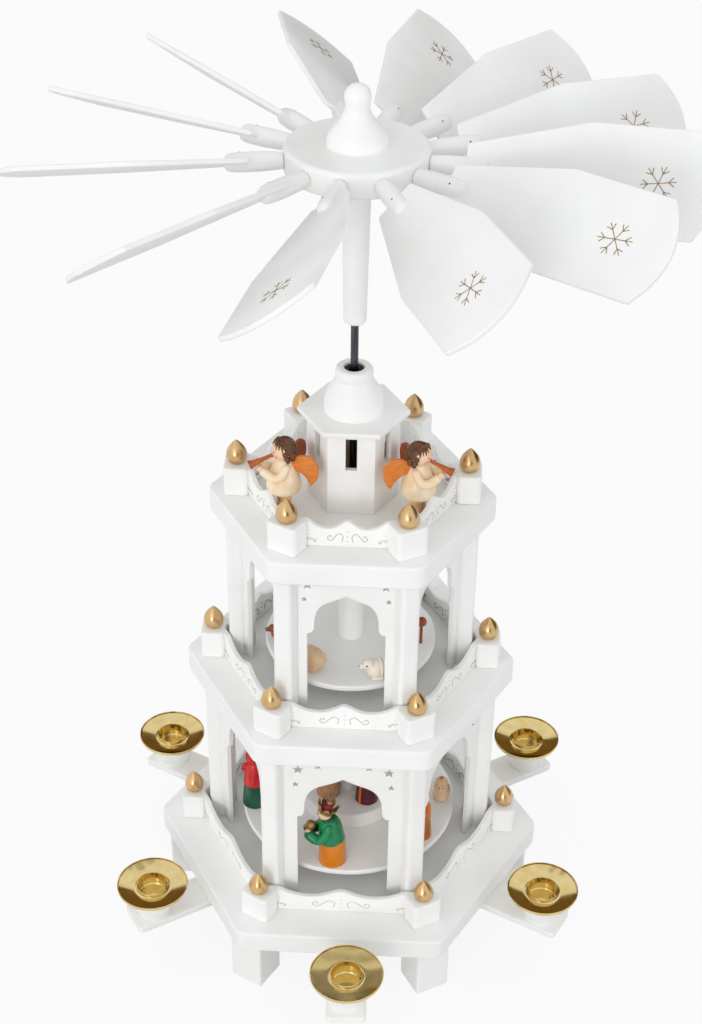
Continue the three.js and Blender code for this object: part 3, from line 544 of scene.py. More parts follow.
# Raw limewood: dull pale brown, with grain about 1.5 mm apart running upwards.
raw_wood = surface(
    "raw limewood", "#ecdcc6", "#d2ba9c", 1.5, (0.7, 0.85), 0.6, 0.03, stretch=(1, 1, 0.1), IOR=1.45
)
walls = bmesh.new()
wall = [Vector(p) for p in ((-TOWER_HALF, 0), (TOWER_HALF, 0),
                            (TOWER_HALF, TOWER_HEIGHT), (-TOWER_HALF, TOWER_HEIGHT))]
slit = [Vector(p) for p in ((-WINDOW_HALF, WINDOW_SILL), (-WINDOW_HALF, WINDOW_HEAD),
                            (WINDOW_HALF, WINDOW_HEAD), (WINDOW_HALF, WINDOW_SILL))]
for k in range(SIDES):
    place = rotate(tau * k / SIDES, "Z") @ move(0, 0, FLOORS["upper"]) @ UPRIGHT
    prism(walls, [wall, slit], TOWER_FACE - TOWER_WALL, TOWER_FACE, 0.25, place, 0, 1)
piece("tower_shell", walls, "tower_walls", finishes=[lacquer, raw_wood])
roof = bmesh.new()
roof_level = FLOORS["upper"] + TOWER_HEIGHT
outline = [hexagon(ROOF_RADIUS, 1.0), circle(ROOF_HOLE)]
prism(roof, outline, roof_level, roof_level + ROOF_THICKNESS, 0.6)
piece("tower_roof_board", roof, "tower_roof")

# The bell cap of the tower: one turned piece, a bell with a bead at its neck, bored for a steel
# bush that keeps the shaft upright. Lacquered like the boards.
CAP_LEVEL = roof_level + ROOF_THICKNESS
bell = [(15.1, 0.0), (15.25, 1.2), (15.1, 5.0), (14.3, 9.0), (12.6, 12.8), (10.6, 16.0),
        (9.35, 18.3)]
bead = [(9.3, 18.9), (9.6, 19.6), (9.75, 21.0), (9.7, 22.4), (9.2, 23.7), (8.2, 24.4), (7.2, 24.5)]
cap_profile = [(2.9, 0.0), *smooth(bell, 4), *smooth(bead, 3), (5.4, 24.4), (5.3, 24.1),
               (5.3, 14.5), (2.9, 14.5)]
turned("tower_cap_bell", cap_profile, "tower_cap", place=move(0, 0, CAP_LEVEL))

# The steel of the pyramid: a bright drawn shaft, ground to a point at its foot, the bush in the
# cap's mouth and the pivot cup on the base plate in which the point turns.
SHAFT_RADIUS, SHAFT_BORE, SHAFT_FOOT, SHAFT_TOP = 2.0, 2.3, 46.9, 470.2
BUSH_FOOT, BUSH_TOP = 342.2, 351.0
# Drawn and burnished steel: dark, sharp streaks of the room along its length, and fine lines left
# by the drawing die, drawn here 0.4 mm apart so that they show.
steel = surface(
    "burnished drawn steel", "#5c5d62", "#3c3d42", 0.8, (0.16, 0.26), 0.4, 0.004,
    stretch=(1, 1, 0.04), Metallic=1.0
)
shaft = [(0.0, SHAFT_FOOT), (0.5, SHAFT_FOOT + 0.9), (SHAFT_RADIUS, SHAFT_FOOT + 5.0),
         (SHAFT_RADIUS, SHAFT_TOP - 0.3), (SHAFT_RADIUS - 0.3, SHAFT_TOP), (0.0, SHAFT_TOP)]
turned("shaft_rod", shaft, "shaft", steps=32, finishes=[steel], body="rotor", slot="steel")
bush = rounded([(SHAFT_BORE, BUSH_FOOT, 0.3), (5.0, BUSH_FOOT, 0.3), (5.0, BUSH_TOP, 0.6),
                (SHAFT_BORE, BUSH_TOP, 0.9)], 3)
turned("shaft_bush_ring", bush, "shaft_bush", finishes=[steel], slot="steel")
pivot = [(0.0, 43.5), (7.0, 43.5, 0.4), (6.0, 49.5, 0.6), (2.7, 49.5, 0.2), (0.0, 46.0)]
turned("pivot_cup_turned", rounded(pivot, 3), "pivot_cup", finishes=[steel], slot="steel")

# The two turntables: thin plywood discs on the shaft, lacquered white. A turned sleeve hides the
# shaft above each of them; on the lower one it stands on a round step.
SLEEVE_RADIUS = 7.0
RING_LEVEL, STEP_LEVEL, LOWER_TOP = 60.0, 70.0, 151.0
MIDDLE_LEVEL, MIDDLE_TOP = 182.5, 260.0


def drum(steps, *edge, bore=0.0):
    """The profile of a turned block: its (radius, height, rounding) corners from the foot up."""
    return rounded([(bore, edge[0][1]), *edge, (bore, edge[-1][1])], steps)


discs = {
    "lower_turntable": [(61.92, 56.75, 0.9), (61.92, RING_LEVEL, 0.9)],
    "lower_pedestal": [(28.0, RING_LEVEL, 0.6), (28.0, STEP_LEVEL, 1.0),
                       (SLEEVE_RADIUS, STEP_LEVEL), (SLEEVE_RADIUS, LOWER_TOP, 0.5)],
    "middle_turntable": [(47.0, 179.25, 0.9), (47.0, MIDDLE_LEVEL, 0.9)],
    "middle_sleeve": [(SLEEVE_RADIUS, MIDDLE_LEVEL), (SLEEVE_RADIUS, MIDDLE_TOP, 0.5)],
}
for node, edge in discs.items():
    turned(node + "_turned", drum(4, *edge, bore=SHAFT_BORE), node, steps=96, body="rotor")

# The head of the rotor: a tapered sleeve on the shaft, a thick hub disc bored all round for the
# blade sticks, and a knob with a ball on top. All turned and lacquered white.
HUB_RADIUS, HUB_LEVEL, KNOB_LEVEL, SLEEVE_FOOT = 34.5, 457.5, 470.5, 377.0
BALL_RADIUS, BALL_LEVEL = 6.4, 23.1
sleeve = drum(6, (5.7, SLEEVE_FOOT, 2.2), (7.2, HUB_LEVEL), bore=SHAFT_BORE)
turned("hub_sleeve_turned", sleeve, "hub_sleeve", body="rotor")
hub = drum(6, (HUB_RADIUS, HUB_LEVEL, 1.8), (HUB_RADIUS, KNOB_LEVEL, 2.2), bore=SHAFT_BORE)
turned("rotor_hub_disc", hub, "rotor_hub", steps=96, body="rotor")
skirt = [(14.4, 0.0), (14.5, 0.8), (14.3, 2.6), (13.2, 5.6), (11.0, 8.8), (8.7, 11.8), (6.9, 14.7),
         (5.85, 17.4), (5.8, 19.6), (6.2, 21.6)]
dome = [(BALL_RADIUS * cos(t), BALL_LEVEL + BALL_RADIUS * sin(t))
        for t in (radians(a) for a in range(0, 90, 10))]
knob = [(0.0, 0.0), *smooth(skirt, 4), *dome, (0.0, BALL_LEVEL + BALL_RADIUS)]
turned("rotor_knob_turned", knob, "rotor_knob", place=move(0, 0, KNOB_LEVEL), body="rotor")

# Twelve blades: a turned stick, slotted at its end, and a thin paddle glued and nailed into the
# slot. The stick's tenon turns in the hub, so that each blade can be set to the wind by hand.
BLADE_LEVEL = 464.0
BLADES = (  # where each stick stands round the hub and how far its paddle is turned, in degrees
    (19.2, 48), (47.5, 45), (74.5, 41), (101.1, 38), (129, 38.5), (156, 28),
    (190.5, 27), (229, 36), (259.5, 37), (292.5, 45), (325.5, 44), (352.1, 60),
)
PADDLE_THICKNESS, STICK_FROM, STICK_TO, NAIL_AT = 2.5, 34.8, 62.0, 54.5
ALONG_X = rotate(pi / 2, "Y")
# A wire nail's head, driven flush: dark iron with a trace of rust, under a millimetre across.
nail_iron = surface(
    "blackened iron nail", "#4a443d", "#2f2a26", 0.5, (0.4, 0.6), 0.3, 0.02, Metallic=0.6
)
swell = [(3.9, STICK_FROM), (4.15, 37.0), (4.55, 43.0), (4.7, 49.0), (4.62, 55.0), (4.3, 58.8),
         (3.5, 60.9), (2.0, 61.8), (0.6, STICK_TO)]
stick_profile = [(0.0, 30.0), (3.0, 30.0), (3.0, STICK_FROM), *smooth(swell, 3), (0.0, STICK_TO)]
nail_profile = [(0.0, 3.9), (0.45, 3.9), (0.45, 4.66), (0.25, 4.78), (0.0, 4.8)]
paddle = [(51.0, -10.5, 1.5), (107.0, -25.0, 6.0), (157.0, -25.0, 2.0)]
paddle += [(p.x, p.y) for p in bent([(157.0, -25.0), (174.8, 0.0), (157.0, 25.0)], 14)[:-1]][1:-1]
paddle += [(157.0, 25.0, 2.0), (107.0, 25.0, 6.0), (51.0, 10.5, 1.5)]
paddle_outline = rounded(paddle)
blade_places = [
    move(0, 0, BLADE_LEVEL) @ rotate(radians(azimuth), "Z") @ rotate(radians(pitch), "X")
    for azimuth, pitch in BLADES
]
for k, place in enumerate(blade_places):
    board = bmesh.new()
    prism(board, [paddle_outline], -PADDLE_THICKNESS / 2, PADDLE_THICKNESS / 2, 0.7, place)
    body = f"blade_{k + 1}"
    piece(body + "_paddle", board, body, body=body)
    turned(body + "_stick", stick_profile, place=place @ ALONG_X, steps=32, body=body)
    turned(body + "_nail", nail_profile, place=place @ move(NAIL_AT, 0, 0), steps=12,
           finishes=[nail_iron], body=body, slot="steel")

# A snowflake on the upper face of each paddle, engraved by laser and filled with gold: six arms,
# each ending in a fork of three.
SNOWFLAKE_AT, SNOWFLAKE_LINE, SNOWFLAKE_TURN = 139.0, 0.55, 8
ARM_LENGTH, FORK_AT, FORK_LENGTH, FORK_SPREAD = 8.2, 4.7, 3.1, 0.72
# Gold foil in a burnt groove: metallic, brown in its depth, rubbed thin in specks of half a
# millimetre.
foil = surface(
    "gold foil in a burnt groove", "#b79c66", "#7a623c", 1.2, (0.32, 0.5), 0.5, 0.02, Metallic=0.85
)
flake = bmesh.new()
for k in range(6):
    turn = radians(60 * k + SNOWFLAKE_TURN)
    out = Vector((cos(turn), sin(turn)))
    draw(flake, [(0, 0), out * ARM_LENGTH], Matrix())
    for side in (-1, 1):
        fork = turn + side * FORK_SPREAD
        branch = Vector((cos(fork), sin(fork)))
        draw(flake, [out * FORK_AT, out * FORK_AT + branch * FORK_LENGTH], Matrix())
flake_mesh = grown(flake, engraved, Width=SNOWFLAKE_LINE * MM, Finish=foil)
for k, place in enumerate(blade_places):
    lift = place @ move(SNOWFLAKE_AT, 0, PADDLE_THICKNESS / 2 - LINE_SUNK)
    lift.translation *= MM
    mesh = flake_mesh.copy()
    mesh.transform(lift)
    body = f"blade_{k + 1}"
    piece(body + "_snowflake", mesh, finishes=[foil], body=body, slot="brass")

# The painted figures of the lower turntable: turned in sections from beech, glued, and dipped or
# brushed with gloss paint. They stand in a ring, the smaller ones on the round step.


def ball(bm, centre, radii, place=Matrix(), slot=0, steps=20, tilt=Matrix()):
    """A turned ball or egg with the given half-sizes."""
    turns = [pi * s / (steps // 2) for s in range(steps // 2 + 1)]
    profile = [(sin(t), -cos(t)) for t in turns]
    size = Matrix.Diagonal((*radii, 1)) if len(radii) == 3 else Matrix.Scale(radii[0], 4)
    lathe(bm, profile, place @ Matrix.Translation(centre) @ tilt @ size, slot, steps)


def rod(bm, path, radii, place=Matrix(), slot=0, sides=12):
    """A soft rod along a path, with a radius at each point and round ends."""
    knots = [Vector((*p, r)) for p, r in zip(path, radii)]
    line = smooth(knots, 4) if len(knots) > 2 else knots
    spine, thick = [p.to_3d() for p in line], [p.w for p in line]
    rings = []
    for i, (spot, radius) in enumerate(zip(spine, thick)):
        ahead = spine[min(i + 1, len(spine) - 1)] - spine[max(i - 1, 0)]
        turn = ahead.to_track_quat("Z", "Y").to_matrix().to_4x4()
        ends = [(0.0, 1.0)]
        if i == 0:
            ends = [(-0.9, 0.3), (-0.6, 0.75), (0.0, 1.0)]
        if i == len(spine) - 1:
            ends = [(0.0, 1.0), (0.6, 0.75), (0.9, 0.3)]
        for shift, size in ends:
            step = Matrix.Translation(spot) @ turn @ move(0, 0, shift * radius)
            edge = [Vector((p.x, p.y, 0)) for p in reversed(circle(size * radius, sides))]
            rings.append([bm.verts.new(place @ (step @ p) * MM) for p in edge])
    skin(bm, zip(rings, rings[1:]), slot)
    for cap in (list(reversed(rings[0])), rings[-1]):
        face = bm.faces.new(cap)
        face.smooth, face.material_index = True, slot


def stand_at(ring, azimuth, level, facing):
    """The place of a figure on a ring round the shaft; it looks along its own X."""
    a = radians(azimuth)
    return move(ring * cos(a), ring * sin(a), level) @ rotate(radians(facing), "Z")


def gloss(name, pale, deep, patch=8.0):
    """Brushed gloss enamel on turned wood: bright highlights, thin spots over patch mm."""
    return surface(name, pale, deep, patch, (0.12, 0.22), 0.9, 0.006, IOR=1.5)


# Gloss enamels on beech: clear bright colours that darken where the paint lies thick, and a small
# sharp highlight. The flesh and beige are thin varnish that lets the wood's warmth through.
leaf_green = gloss("green gloss enamel", "#088a52", "#067349")
pine_green = gloss("dark green gloss enamel", "#1d5b41", "#123f2e")
ochre = gloss("ochre gloss enamel", "#e28a1e", "#d87a16")
flesh = gloss("flesh-tinted varnish", "#f2cfae", "#e8b996")
red = gloss("red gloss enamel", "#d81e24", "#c0161f")
crimson = gloss("crimson gloss enamel", "#a3152f", "#860f26")
maroon = gloss("maroon gloss enamel", "#6b1422", "#4d0f1b")
orange = gloss("orange gloss enamel", "#de7a1c", "#cb6412")
amber = gloss("amber-brown gloss enamel", "#c0741f", "#a85f18")
rust = gloss("rust-brown gloss enamel", "#a34e18", "#833a12")
tan_varnish = gloss("tan varnish on beech", "#c99a6c", "#b0825a", 3.0)
cream = gloss("cream varnish on limewood", "#f8f0e2", "#f1e4cf", 6.0)
black = gloss("black dot paint", "#1b1512", "#0f0c0a", 1.0)
pink = gloss("pink cheek paint", "#e79bb4", "#dd85a4", 1.5)
brown_gold = surface(
    "brown-gold bronze paint", "#c09a60", "#957142", 2.5, (0.3, 0.42), 0.6, 0.015, Metallic=0.75
)


def face_dots(bm, place, head, radius, dark, mouth, cheek):
    """Two dot eyes, a mouth and two cheeks, painted on the front of a ball head."""
    for yaw, pitch, size, slot in ((22, 12, 0.6, dark), (-22, 12, 0.6, dark), (0, -24, 0.65, mouth),
                                   (36, -14, 0.8, cheek), (-36, -14, 0.8, cheek)):
        y, p = radians(yaw), radians(pitch)
        out = Vector((cos(p) * cos(y), cos(p) * sin(y), sin(p)))
        tilt = out.to_track_quat("Z", "Y").to_matrix().to_4x4()
        ball(bm, Vector(head) + out * radius * 0.985, (size, size, 0.18), place, slot, 12, tilt)


# The king: ochre skirt, green coat that leans forward, wide sleeves that carry a gold ball, and a
# crown of leaves round a red cap with a gilt ball on top.
king = bmesh.new()
place = stand_at(52.9, 263, RING_LEVEL, 188)
SKIRT, COAT, CUFF, SKIN, CROWN, CAP, GIFT, DARK, LIPS, CHEEK = range(10)
lathe(king, drum(3, (7.9, 0.0, 0.5), (7.2, 17.4, 0.4)), place, SKIRT, 36)
bow = place @ move(0.3, 0, 17.0) @ rotate(radians(8), "Y")
coat = [(6.9, -1.2), (7.3, -0.6), (7.25, 2.6), (7.0, 7.0), (6.4, 11.0), (5.2, 13.8), (4.1, 14.9)]
lathe(king, [(0.0, -1.2), *smooth(coat, 4), (0.0, 15.0)], bow, COAT, 36)
lathe(king, drum(3, (4.1, 14.6, 0.5), (3.9, 16.0, 0.5)), bow, CUFF, 28)
HEAD = (4.4, 0, 36.0)
ball(king, HEAD, (4.3, 4.2, 4.3), place, SKIN, 28)
ball(king, (8.6, 0, 35.4), (0.7, 0.6, 0.7), place, SKIN, 12)
face_dots(king, place, HEAD, 4.3, DARK, LIPS, CHEEK)
for side in (-1, 1):
    rod(king, [(2.6, side * 5.2, 29.2), (4.6, side * 6.2, 24.0), (7.6, side * 5.8, 20.8)],
        [2.2, 2.6, 3.0], place, COAT)
    rod(king, [(6.6, side * 5.8, 20.0), (10.4, side * 4.6, 20.8), (13.4, side * 2.9, 22.6)],
        [2.7, 3.1, 3.0], place, CUFF if side < 0 else COAT)
    ball(king, (13.9, side * 2.2, 24.6), (1.7, 1.5, 1.6), place, SKIN, 16)
ball(king, (12.4, 0, 27.3), (2.95,), place, GIFT, 28)
tiara = place @ move(3.5, 0, 38.4) @ rotate(radians(-20), "Y")
lathe(king, drum(3, (4.3, -1.6, 0.3), (4.6, 0.5, 0.3)), tiara, CROWN, 32)
ball(king, (0, 0, 1.7), (3.3, 3.3, 3.0), tiara, CAP, 24)
ball(king, (0, 0, 5.2), (1.7,), tiara, GIFT, 18)
for k in range(7):
    turn = tiara @ rotate(tau * (k + 0.5) / 7, "Z")
    leaf = turn @ move(4.3, 0, 0) @ rotate(radians(24), "Y")
    ball(king, (0, 0, 1.9), (0.5, 1.9, 3.0), leaf, CROWN, 18)
paints = [ochre, leaf_green, pine_green, flesh, brown_gold, crimson, brown_gold, black, red, pink]
piece("figure_king_painted", king, "figure_king", finishes=paints, body="rotor", slot="green_paint")

# The guests round the king: one in a red coat over green, one in orange, and on the step one in
# maroon and one in tan. Each has a bell coat, a hood with a ball head in it, and folded sleeves.
GUESTS = (
    ("figure_red_coat", 55.4, 189, RING_LEVEL, 100, 1.06,
     pine_green, red, red, "red_paint"),
    ("figure_orange_coat", 52.2, 325.4, RING_LEVEL, 250, 0.95,
     amber, orange, orange, "orange_paint"),
    ("figure_dark_red_coat", 16.5, 312, STEP_LEVEL, 235, 1.0,
     maroon, maroon, maroon, "dark_red_paint"),
    ("guest_tan_coat", 14.4, 217, STEP_LEVEL, 215, 1.0,
     tan_varnish, tan_varnish, rust, "natural_beige"),
)
for name, ring, azimuth, level, facing, size, skirt_paint, coat_paint, hood_paint, slot in GUESTS:
    guest = bmesh.new()
    place = stand_at(ring, azimuth, level, facing) @ Matrix.Scale(size, 4)
    SKIRT, COAT, HOOD, SKIN, DARK, LIPS, CHEEK, TRIM = range(8)
    lathe(guest, drum(3, (6.9, 0.0, 0.5), (5.7, 15.4)), place, SKIRT, 36)
    coat = [(5.8, 15.0), (6.0, 15.6), (5.75, 19.0), (5.3, 23.0), (4.6, 26.6), (3.4, 29.4)]
    lathe(guest, [(0.0, 15.0), *smooth(coat, 4), (0.0, 30.0)], place, COAT, 36)
    ball(guest, (0.6, 0, 33.4), (4.2, 4.1, 4.3), place, SKIN, 28)
    face_dots(guest, place, (0.6, 0, 33.4), 4.2, DARK, LIPS, CHEEK)
    hood = [(4.55, -4.2), (4.75, -1.6), (4.75, 0.6), (4.3, 2.8), (3.2, 4.6), (1.7, 5.8)]
    lean = place @ move(-0.5, 0, 33.4) @ rotate(radians(-34), "Y")
    lathe(guest, [(0.0, -3.6), *smooth(hood, 3), (0.0, 6.2)], lean, HOOD, 32)
    for side in (-1, 1):
        rod(guest, [(0.9, side * 4.2, 26.2), (3.2, side * 4.9, 22.4), (6.0, side * 2.4, 21.6)],
            [1.8, 2.1, 1.9], place, COAT)
        ball(guest, (6.9, side * 1.2, 22.0), (1.5, 1.3, 1.4), place, SKIN, 14)
    if skirt_paint == maroon:
        rod(guest, [(6.75, 0, 1.0), (5.75, 0, 14.8), (5.0, 0, 24.0)], [0.75, 0.7, 0.6],
            place, TRIM, 10)
    paints = [skirt_paint, coat_paint, hood_paint, flesh, black, red, pink, orange]
    nodes = [name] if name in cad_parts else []
    piece(name + "_painted", guest, *nodes, finishes=paints, body="rotor", slot=slot)

# A lamb lies among the guests and holds its head high: an egg of limewood for head and chest, a
# second one for the body behind it, glued ears and tuft, and a face dotted on with a brush.
lamb = bmesh.new()
place = stand_at(54.02, 359.5, RING_LEVEL, 250)
BODY, TUFT, DARK, LIPS, CHEEK = range(5)
beige = gloss("beige varnish on limewood", "#ecd0ab", "#e0bd92", 6.0)
chest = [(3.4, 0.0), (4.3, 1.6), (4.65, 4.6), (4.5, 7.4), (4.35, 10.0), (4.1, 12.6), (3.2, 14.8),
         (1.7, 16.0)]
lathe(lamb, [(0.0, 0.0), *smooth(chest, 4), (0.0, 16.4)], place @ move(-1.0, 0, 0), BODY, 36)
ball(lamb, (-5.2, 0, 4.1), (5.0, 4.4, 4.1), place, BODY, 32)
tip = place @ move(-1.0, 0, 11.4) @ rotate(radians(-22), "Y")
face_dots(lamb, tip, (0, 0, 0), 4.3, DARK, LIPS, CHEEK)
ball(lamb, (4.2, 0, -0.3), (0.7, 0.8, 0.6), tip, BODY, 14)
for side in (-1, 1):
    lop = rotate(side * 0.25, "X")
    ball(lamb, (-1.6, side * 4.3, 10.6), (0.9, 0.5, 1.5), place, TUFT, 14, lop)
    rod(lamb, [(-2.5, side * 3.0, 1.2), (1.6, side * 2.6, 1.1)], [1.2, 1.0], place, BODY)
ball(lamb, (-1.2, 0, 16.0), (1.5, 1.4, 0.7), place, TUFT, 14)
piece("figure_lamb_carved", lamb, "figure_lamb", finishes=[beige, tan_varnish, black, red, pink],
      body="rotor", slot="natural_beige")

# The animals of the middle turntable lie down: a sheep with a ridged fleece, a calf, and a brown
# donkey behind a column. Each has a turned barrel of a body, a ball head and glued ears and legs.
peach = gloss("peach varnish on beech", "#e9c7a0", "#dcae82", 6.0)
ANIMALS = (
    ("figure_sheep", 40.6, 297.6, 196, 18.0, 5.8, 0.11, 3.3, cream, red, "cream_paint"),
    ("figure_calf", 36.8, 236, 150, 17.0, 6.3, 0.0, 3.2, peach, red, "natural_beige"),
    ("donkey", 37.8, 191, 187, 13.0, 4.2, 0.0, 2.5, rust, black, "orange_paint"),
)
for name, ring, azimuth, facing, length, girth, ridge, head, coat_paint, nose, slot in ANIMALS:
    beast = bmesh.new()
    place = stand_at(ring, azimuth, MIDDLE_LEVEL, facing)
    BODY, DARK, NOSE = range(3)
    half, steps = length / 2, 64
    barrel = []
    for s in range(1, steps):
        t = pi * s / steps
        x = -half * cos(t)
        wave = ridge * (1 + cos(tau * x / 2.4)) * min(1, max(0, 1.1 - x / (0.35 * half)))
        barrel.append((girth * sin(t) ** 0.6 * (1 - wave), x))
    lying = place @ move(0, 0, girth) @ ALONG_X
    lathe(beast, [(0.0, -half), *barrel, (0.0, half)], lying, BODY, 40)
    look = place @ move(half * 0.84, 0, girth * 1.56) @ Matrix.Scale(head, 4)
    ball(beast, (0, 0, 0), (1.0, 0.96, 0.98), look, BODY, 32)
    ball(beast, (1.12, 0, -0.2), (0.5, 0.52, 0.5), look, BODY, 20)
    ball(beast, (1.58, 0, -0.1), (0.12, 0.18, 0.13), look, NOSE, 10)
    for side in (-1, 1):
        ball(beast, (0.5, side * 0.78, 0.24), (0.17, 0.125, 0.17), look, DARK, 12)
        flop = rotate(side * 1.1, "X")
        ball(beast, (-0.3, side * 0.84, 0.5), (0.25, 0.16, 0.4), look, BODY, 14, flop)
        flank = side * girth
        rod(beast, [(half * 0.1, flank * 0.62, 1.3), (half * 0.62, flank * 0.5, 1.2)], [1.3, 1.1],
            place, BODY)
        rod(beast, [(half * -0.6, flank * 0.66, 1.5), (half * -0.15, flank * 0.7, 1.2)], [1.5, 1.1],
            place, BODY)
        haunch = Vector((girth * 0.66, girth * 0.4, girth * 0.7))
        ball(beast, (half * -0.4, flank * 0.66, girth * 0.74), haunch, place, BODY)
    rod(beast, [(half * -0.96, 0, girth * 1.35), (half * -1.02, 0, girth * 0.95)], [0.9, 0.6],
        place, BODY, 8)
    nodes = [name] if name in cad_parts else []
    paints = [coat_paint, black, nose]
    piece(name + "_carved", beast, *nodes, finishes=paints, body="rotor", slot=slot)

# A crook stands behind the right column of the middle turntable: a turned ball on a thin stick,
# stained red-brown and glued into the disc.
crook = bmesh.new()
place = stand_at(39.4, 350, MIDDLE_LEVEL, 0)
rod(crook, [(0, 0, 0.3), (0, 0, 14.0)], [0.9, 0.8], place, 0, 14)
ball(crook, (0, 0, 14.6), (2.9, 2.9, 2.8), place, 0, 24)
piece("crook_turned", crook, finishes=[rust], body="rotor", slot="orange_paint")

# Two angels blow trumpets on the upper floor: turned legs and bell dress, ball head, glued
# sleeves, a turned trumpet and two thin wings of stained wood pegged to the back.
ANGEL_RING, HEAD_LEVEL, HEAD_RADIUS = 39.1, 36.6, 6.3
# Stained limewood: warm orange with straight grain lines about a millimetre apart.
stained = surface(
    "orange-stained limewood", "#e8893a", "#d2762b", 1.1, (0.42, 0.55), 0.5, 0.02,
    stretch=(0.25, 0.25, 1), IOR=1.45
)
# A darker red-brown copy of the same stain, for the wing on the far side: painted shade, where that
# wing is turned from the light.
stained_painted_shade = surface(
    "orange-stained limewood in painted shade", "#ad5a28", "#8c4118", 1.1, (0.42, 0.55), 0.5, 0.02,
    stretch=(0.25, 0.25, 1), IOR=1.45
)
horn_brown = gloss("orange-brown varnish on turned beech", "#c4631c", "#a14a12", 3.0)
hair_brown = gloss("dark brown gloss enamel", "#6d4424", "#4f2e15", 3.0)
dress_cream = gloss("cream varnish on turned limewood", "#f9e9cd", "#f0d3a8", 7.0)
skin_tan = gloss("tan varnish on turned limewood", "#f0c890", "#e2ae70", 6.0)
wing = [Vector((0.0, -1.9))]
wing += bent([(0.0, -1.9), (6.6, -2.2), (9.6, -5.2), (11.4, -9.8)], 10)
wing += bent([(11.4, -9.8), (18.6, -2.6), (15.8, 8.6), (7.4, 7.4)], 14)
wing += bent([(7.4, 7.4), (2.4, 6.6), (0.0, 1.9)], 8)
trumpet = [(0.75, 0.0), (0.95, 0.5), (0.9, 1.4), (1.05, 4.0), (1.25, 7.0), (1.55, 9.6), (2.0, 11.8),
           (2.55, 13.2)]
trumpet = [(0.0, 0.0), *smooth(trumpet, 3), (2.35, 13.4), (2.05, 13.0), (1.3, 11.2), (0.0, 10.6)]
for name, azimuth, facing in (("angel_left", 208.6, 200), ("angel_right", 331.4, 340)):
    angel = bmesh.new()
    place = stand_at(ANGEL_RING, azimuth, FLOORS["upper"], facing)
    LEG, DRESS, SKIN, HAIR, HORN, WING, DARK, CHEEK, FAR_WING = range(9)
    for side in (-1, 1):
        leg = drum(3, (2.9, 0.0, 0.9), (3.2, 16.0))
        lathe(angel, leg, place @ move(0, side * 3.3, 0), LEG, 24)
    bell = [(6.6, 12.6), (8.0, 12.8), (8.9, 13.8), (9.2, 16.0), (8.7, 19.6), (7.3, 24.0),
            (5.5, 27.8), (4.2, 30.6)]
    lathe(angel, [(0.0, 12.6), *smooth(bell, 4), (3.0, 32.4), (0.0, 32.6)], place, DRESS, 44)
    ball(angel, (0, 0, HEAD_LEVEL), (HEAD_RADIUS, 6.1, 6.3), place, SKIN, 36)
    nape = place @ move(-0.55, 0, HEAD_LEVEL + 0.45) @ rotate(-1.0, "Y")
    hair = [(6.45 * cos(t), 6.45 * sin(t)) for t in (radians(a) for a in range(0, 90, 9))]
    lathe(angel, [(0.0, 0.0), (5.9, -0.3), *hair, (0.0, 6.45)], nape, HAIR, 40)
    ball(angel, (3.6, 0.5, HEAD_LEVEL + 5.9), (1.7, 1.5, 1.4), place, HAIR, 18)
    ball(angel, (2.2, -1.2, HEAD_LEVEL + 6.0), (1.5, 1.6, 1.0), place, HAIR, 16)
    for side in (-1, 1):
        for x, y, z, size in ((0.7, 5.9, 0.2, 1.55), (0.1, 6.2, -2.0, 1.5), (-0.7, 5.8, -4.0, 1.3),
                              (-2.8, 5.4, -1.4, 1.7), (-3.4, 4.6, -3.8, 1.35)):
            ball(angel, (x, side * y, HEAD_LEVEL + z), (size, size * 0.85, size), place, HAIR, 16)
        ball(angel, (5.6, side * 2.2, HEAD_LEVEL + 0.5), (0.35, 0.5, 0.6), place, DARK, 12)
        ball(angel, (4.85, side * 3.25, HEAD_LEVEL - 1.7), (0.35, 1.15, 0.95), place, CHEEK, 14,
             rotate(side * 0.55, "Z"))
        for yaw, low in ((14, 30), (30, 20), (46, 24), (62, 12)):
            strand = []
            for rise in (62, (62 + low) / 2, low):
                e, w = radians(rise), radians(side * yaw * (1.15 - rise / 400))
                out = (cos(e) * cos(w), cos(e) * sin(w), sin(e))
                strand.append(Vector(out) * 6.2)
            lift = place @ move(0, 0, HEAD_LEVEL)
            rod(angel, strand, [0.75, 0.6, 0.2], lift, HAIR, 8)
    lips = place @ move(5.4, 0, HEAD_LEVEL - 2.2)
    lathe(angel, trumpet, lips @ rotate(radians(108), "Y"), HORN, 28)
    for side in (-1, 1):
        rod(angel, [(0.2, side * 4.9, 28.4), (3.6, side * 7.0, 24.8), (7.4, side * 6.0, 24.0),
                    (11.4, side * 3.2, 26.8)], [2.3, 2.5, 2.4, 2.2], place, DRESS, 16)
        ball(angel, (12.9, side * 2.0, 28.4), (1.8, 1.6, 1.8), place, SKIN, 18)
        turn = (place @ move(-3.2, side * 2.0, 28.2)
                @ rotate(pi - radians(42 * side), "Z") @ UPRIGHT)
        near = (side > 0) == (name == "angel_left")
        # The far wing takes the darker copy of the stain as painted shade; the near wing keeps the
        # plain orange stain.
        prism(angel, [wing], -0.9, 0.9, 0.3, turn, WING if near else FAR_WING)
        ball(angel, (4.6, side * 7.4, 15.6), (0.5, 0.5, 0.5), place, DARK, 10)
    paints = [skin_tan, dress_cream, flesh, hair_brown, horn_brown, stained, black, pink,
              stained_painted_shade]
    piece(name + "_painted", angel, name, finishes=paints, slot="cream_paint")

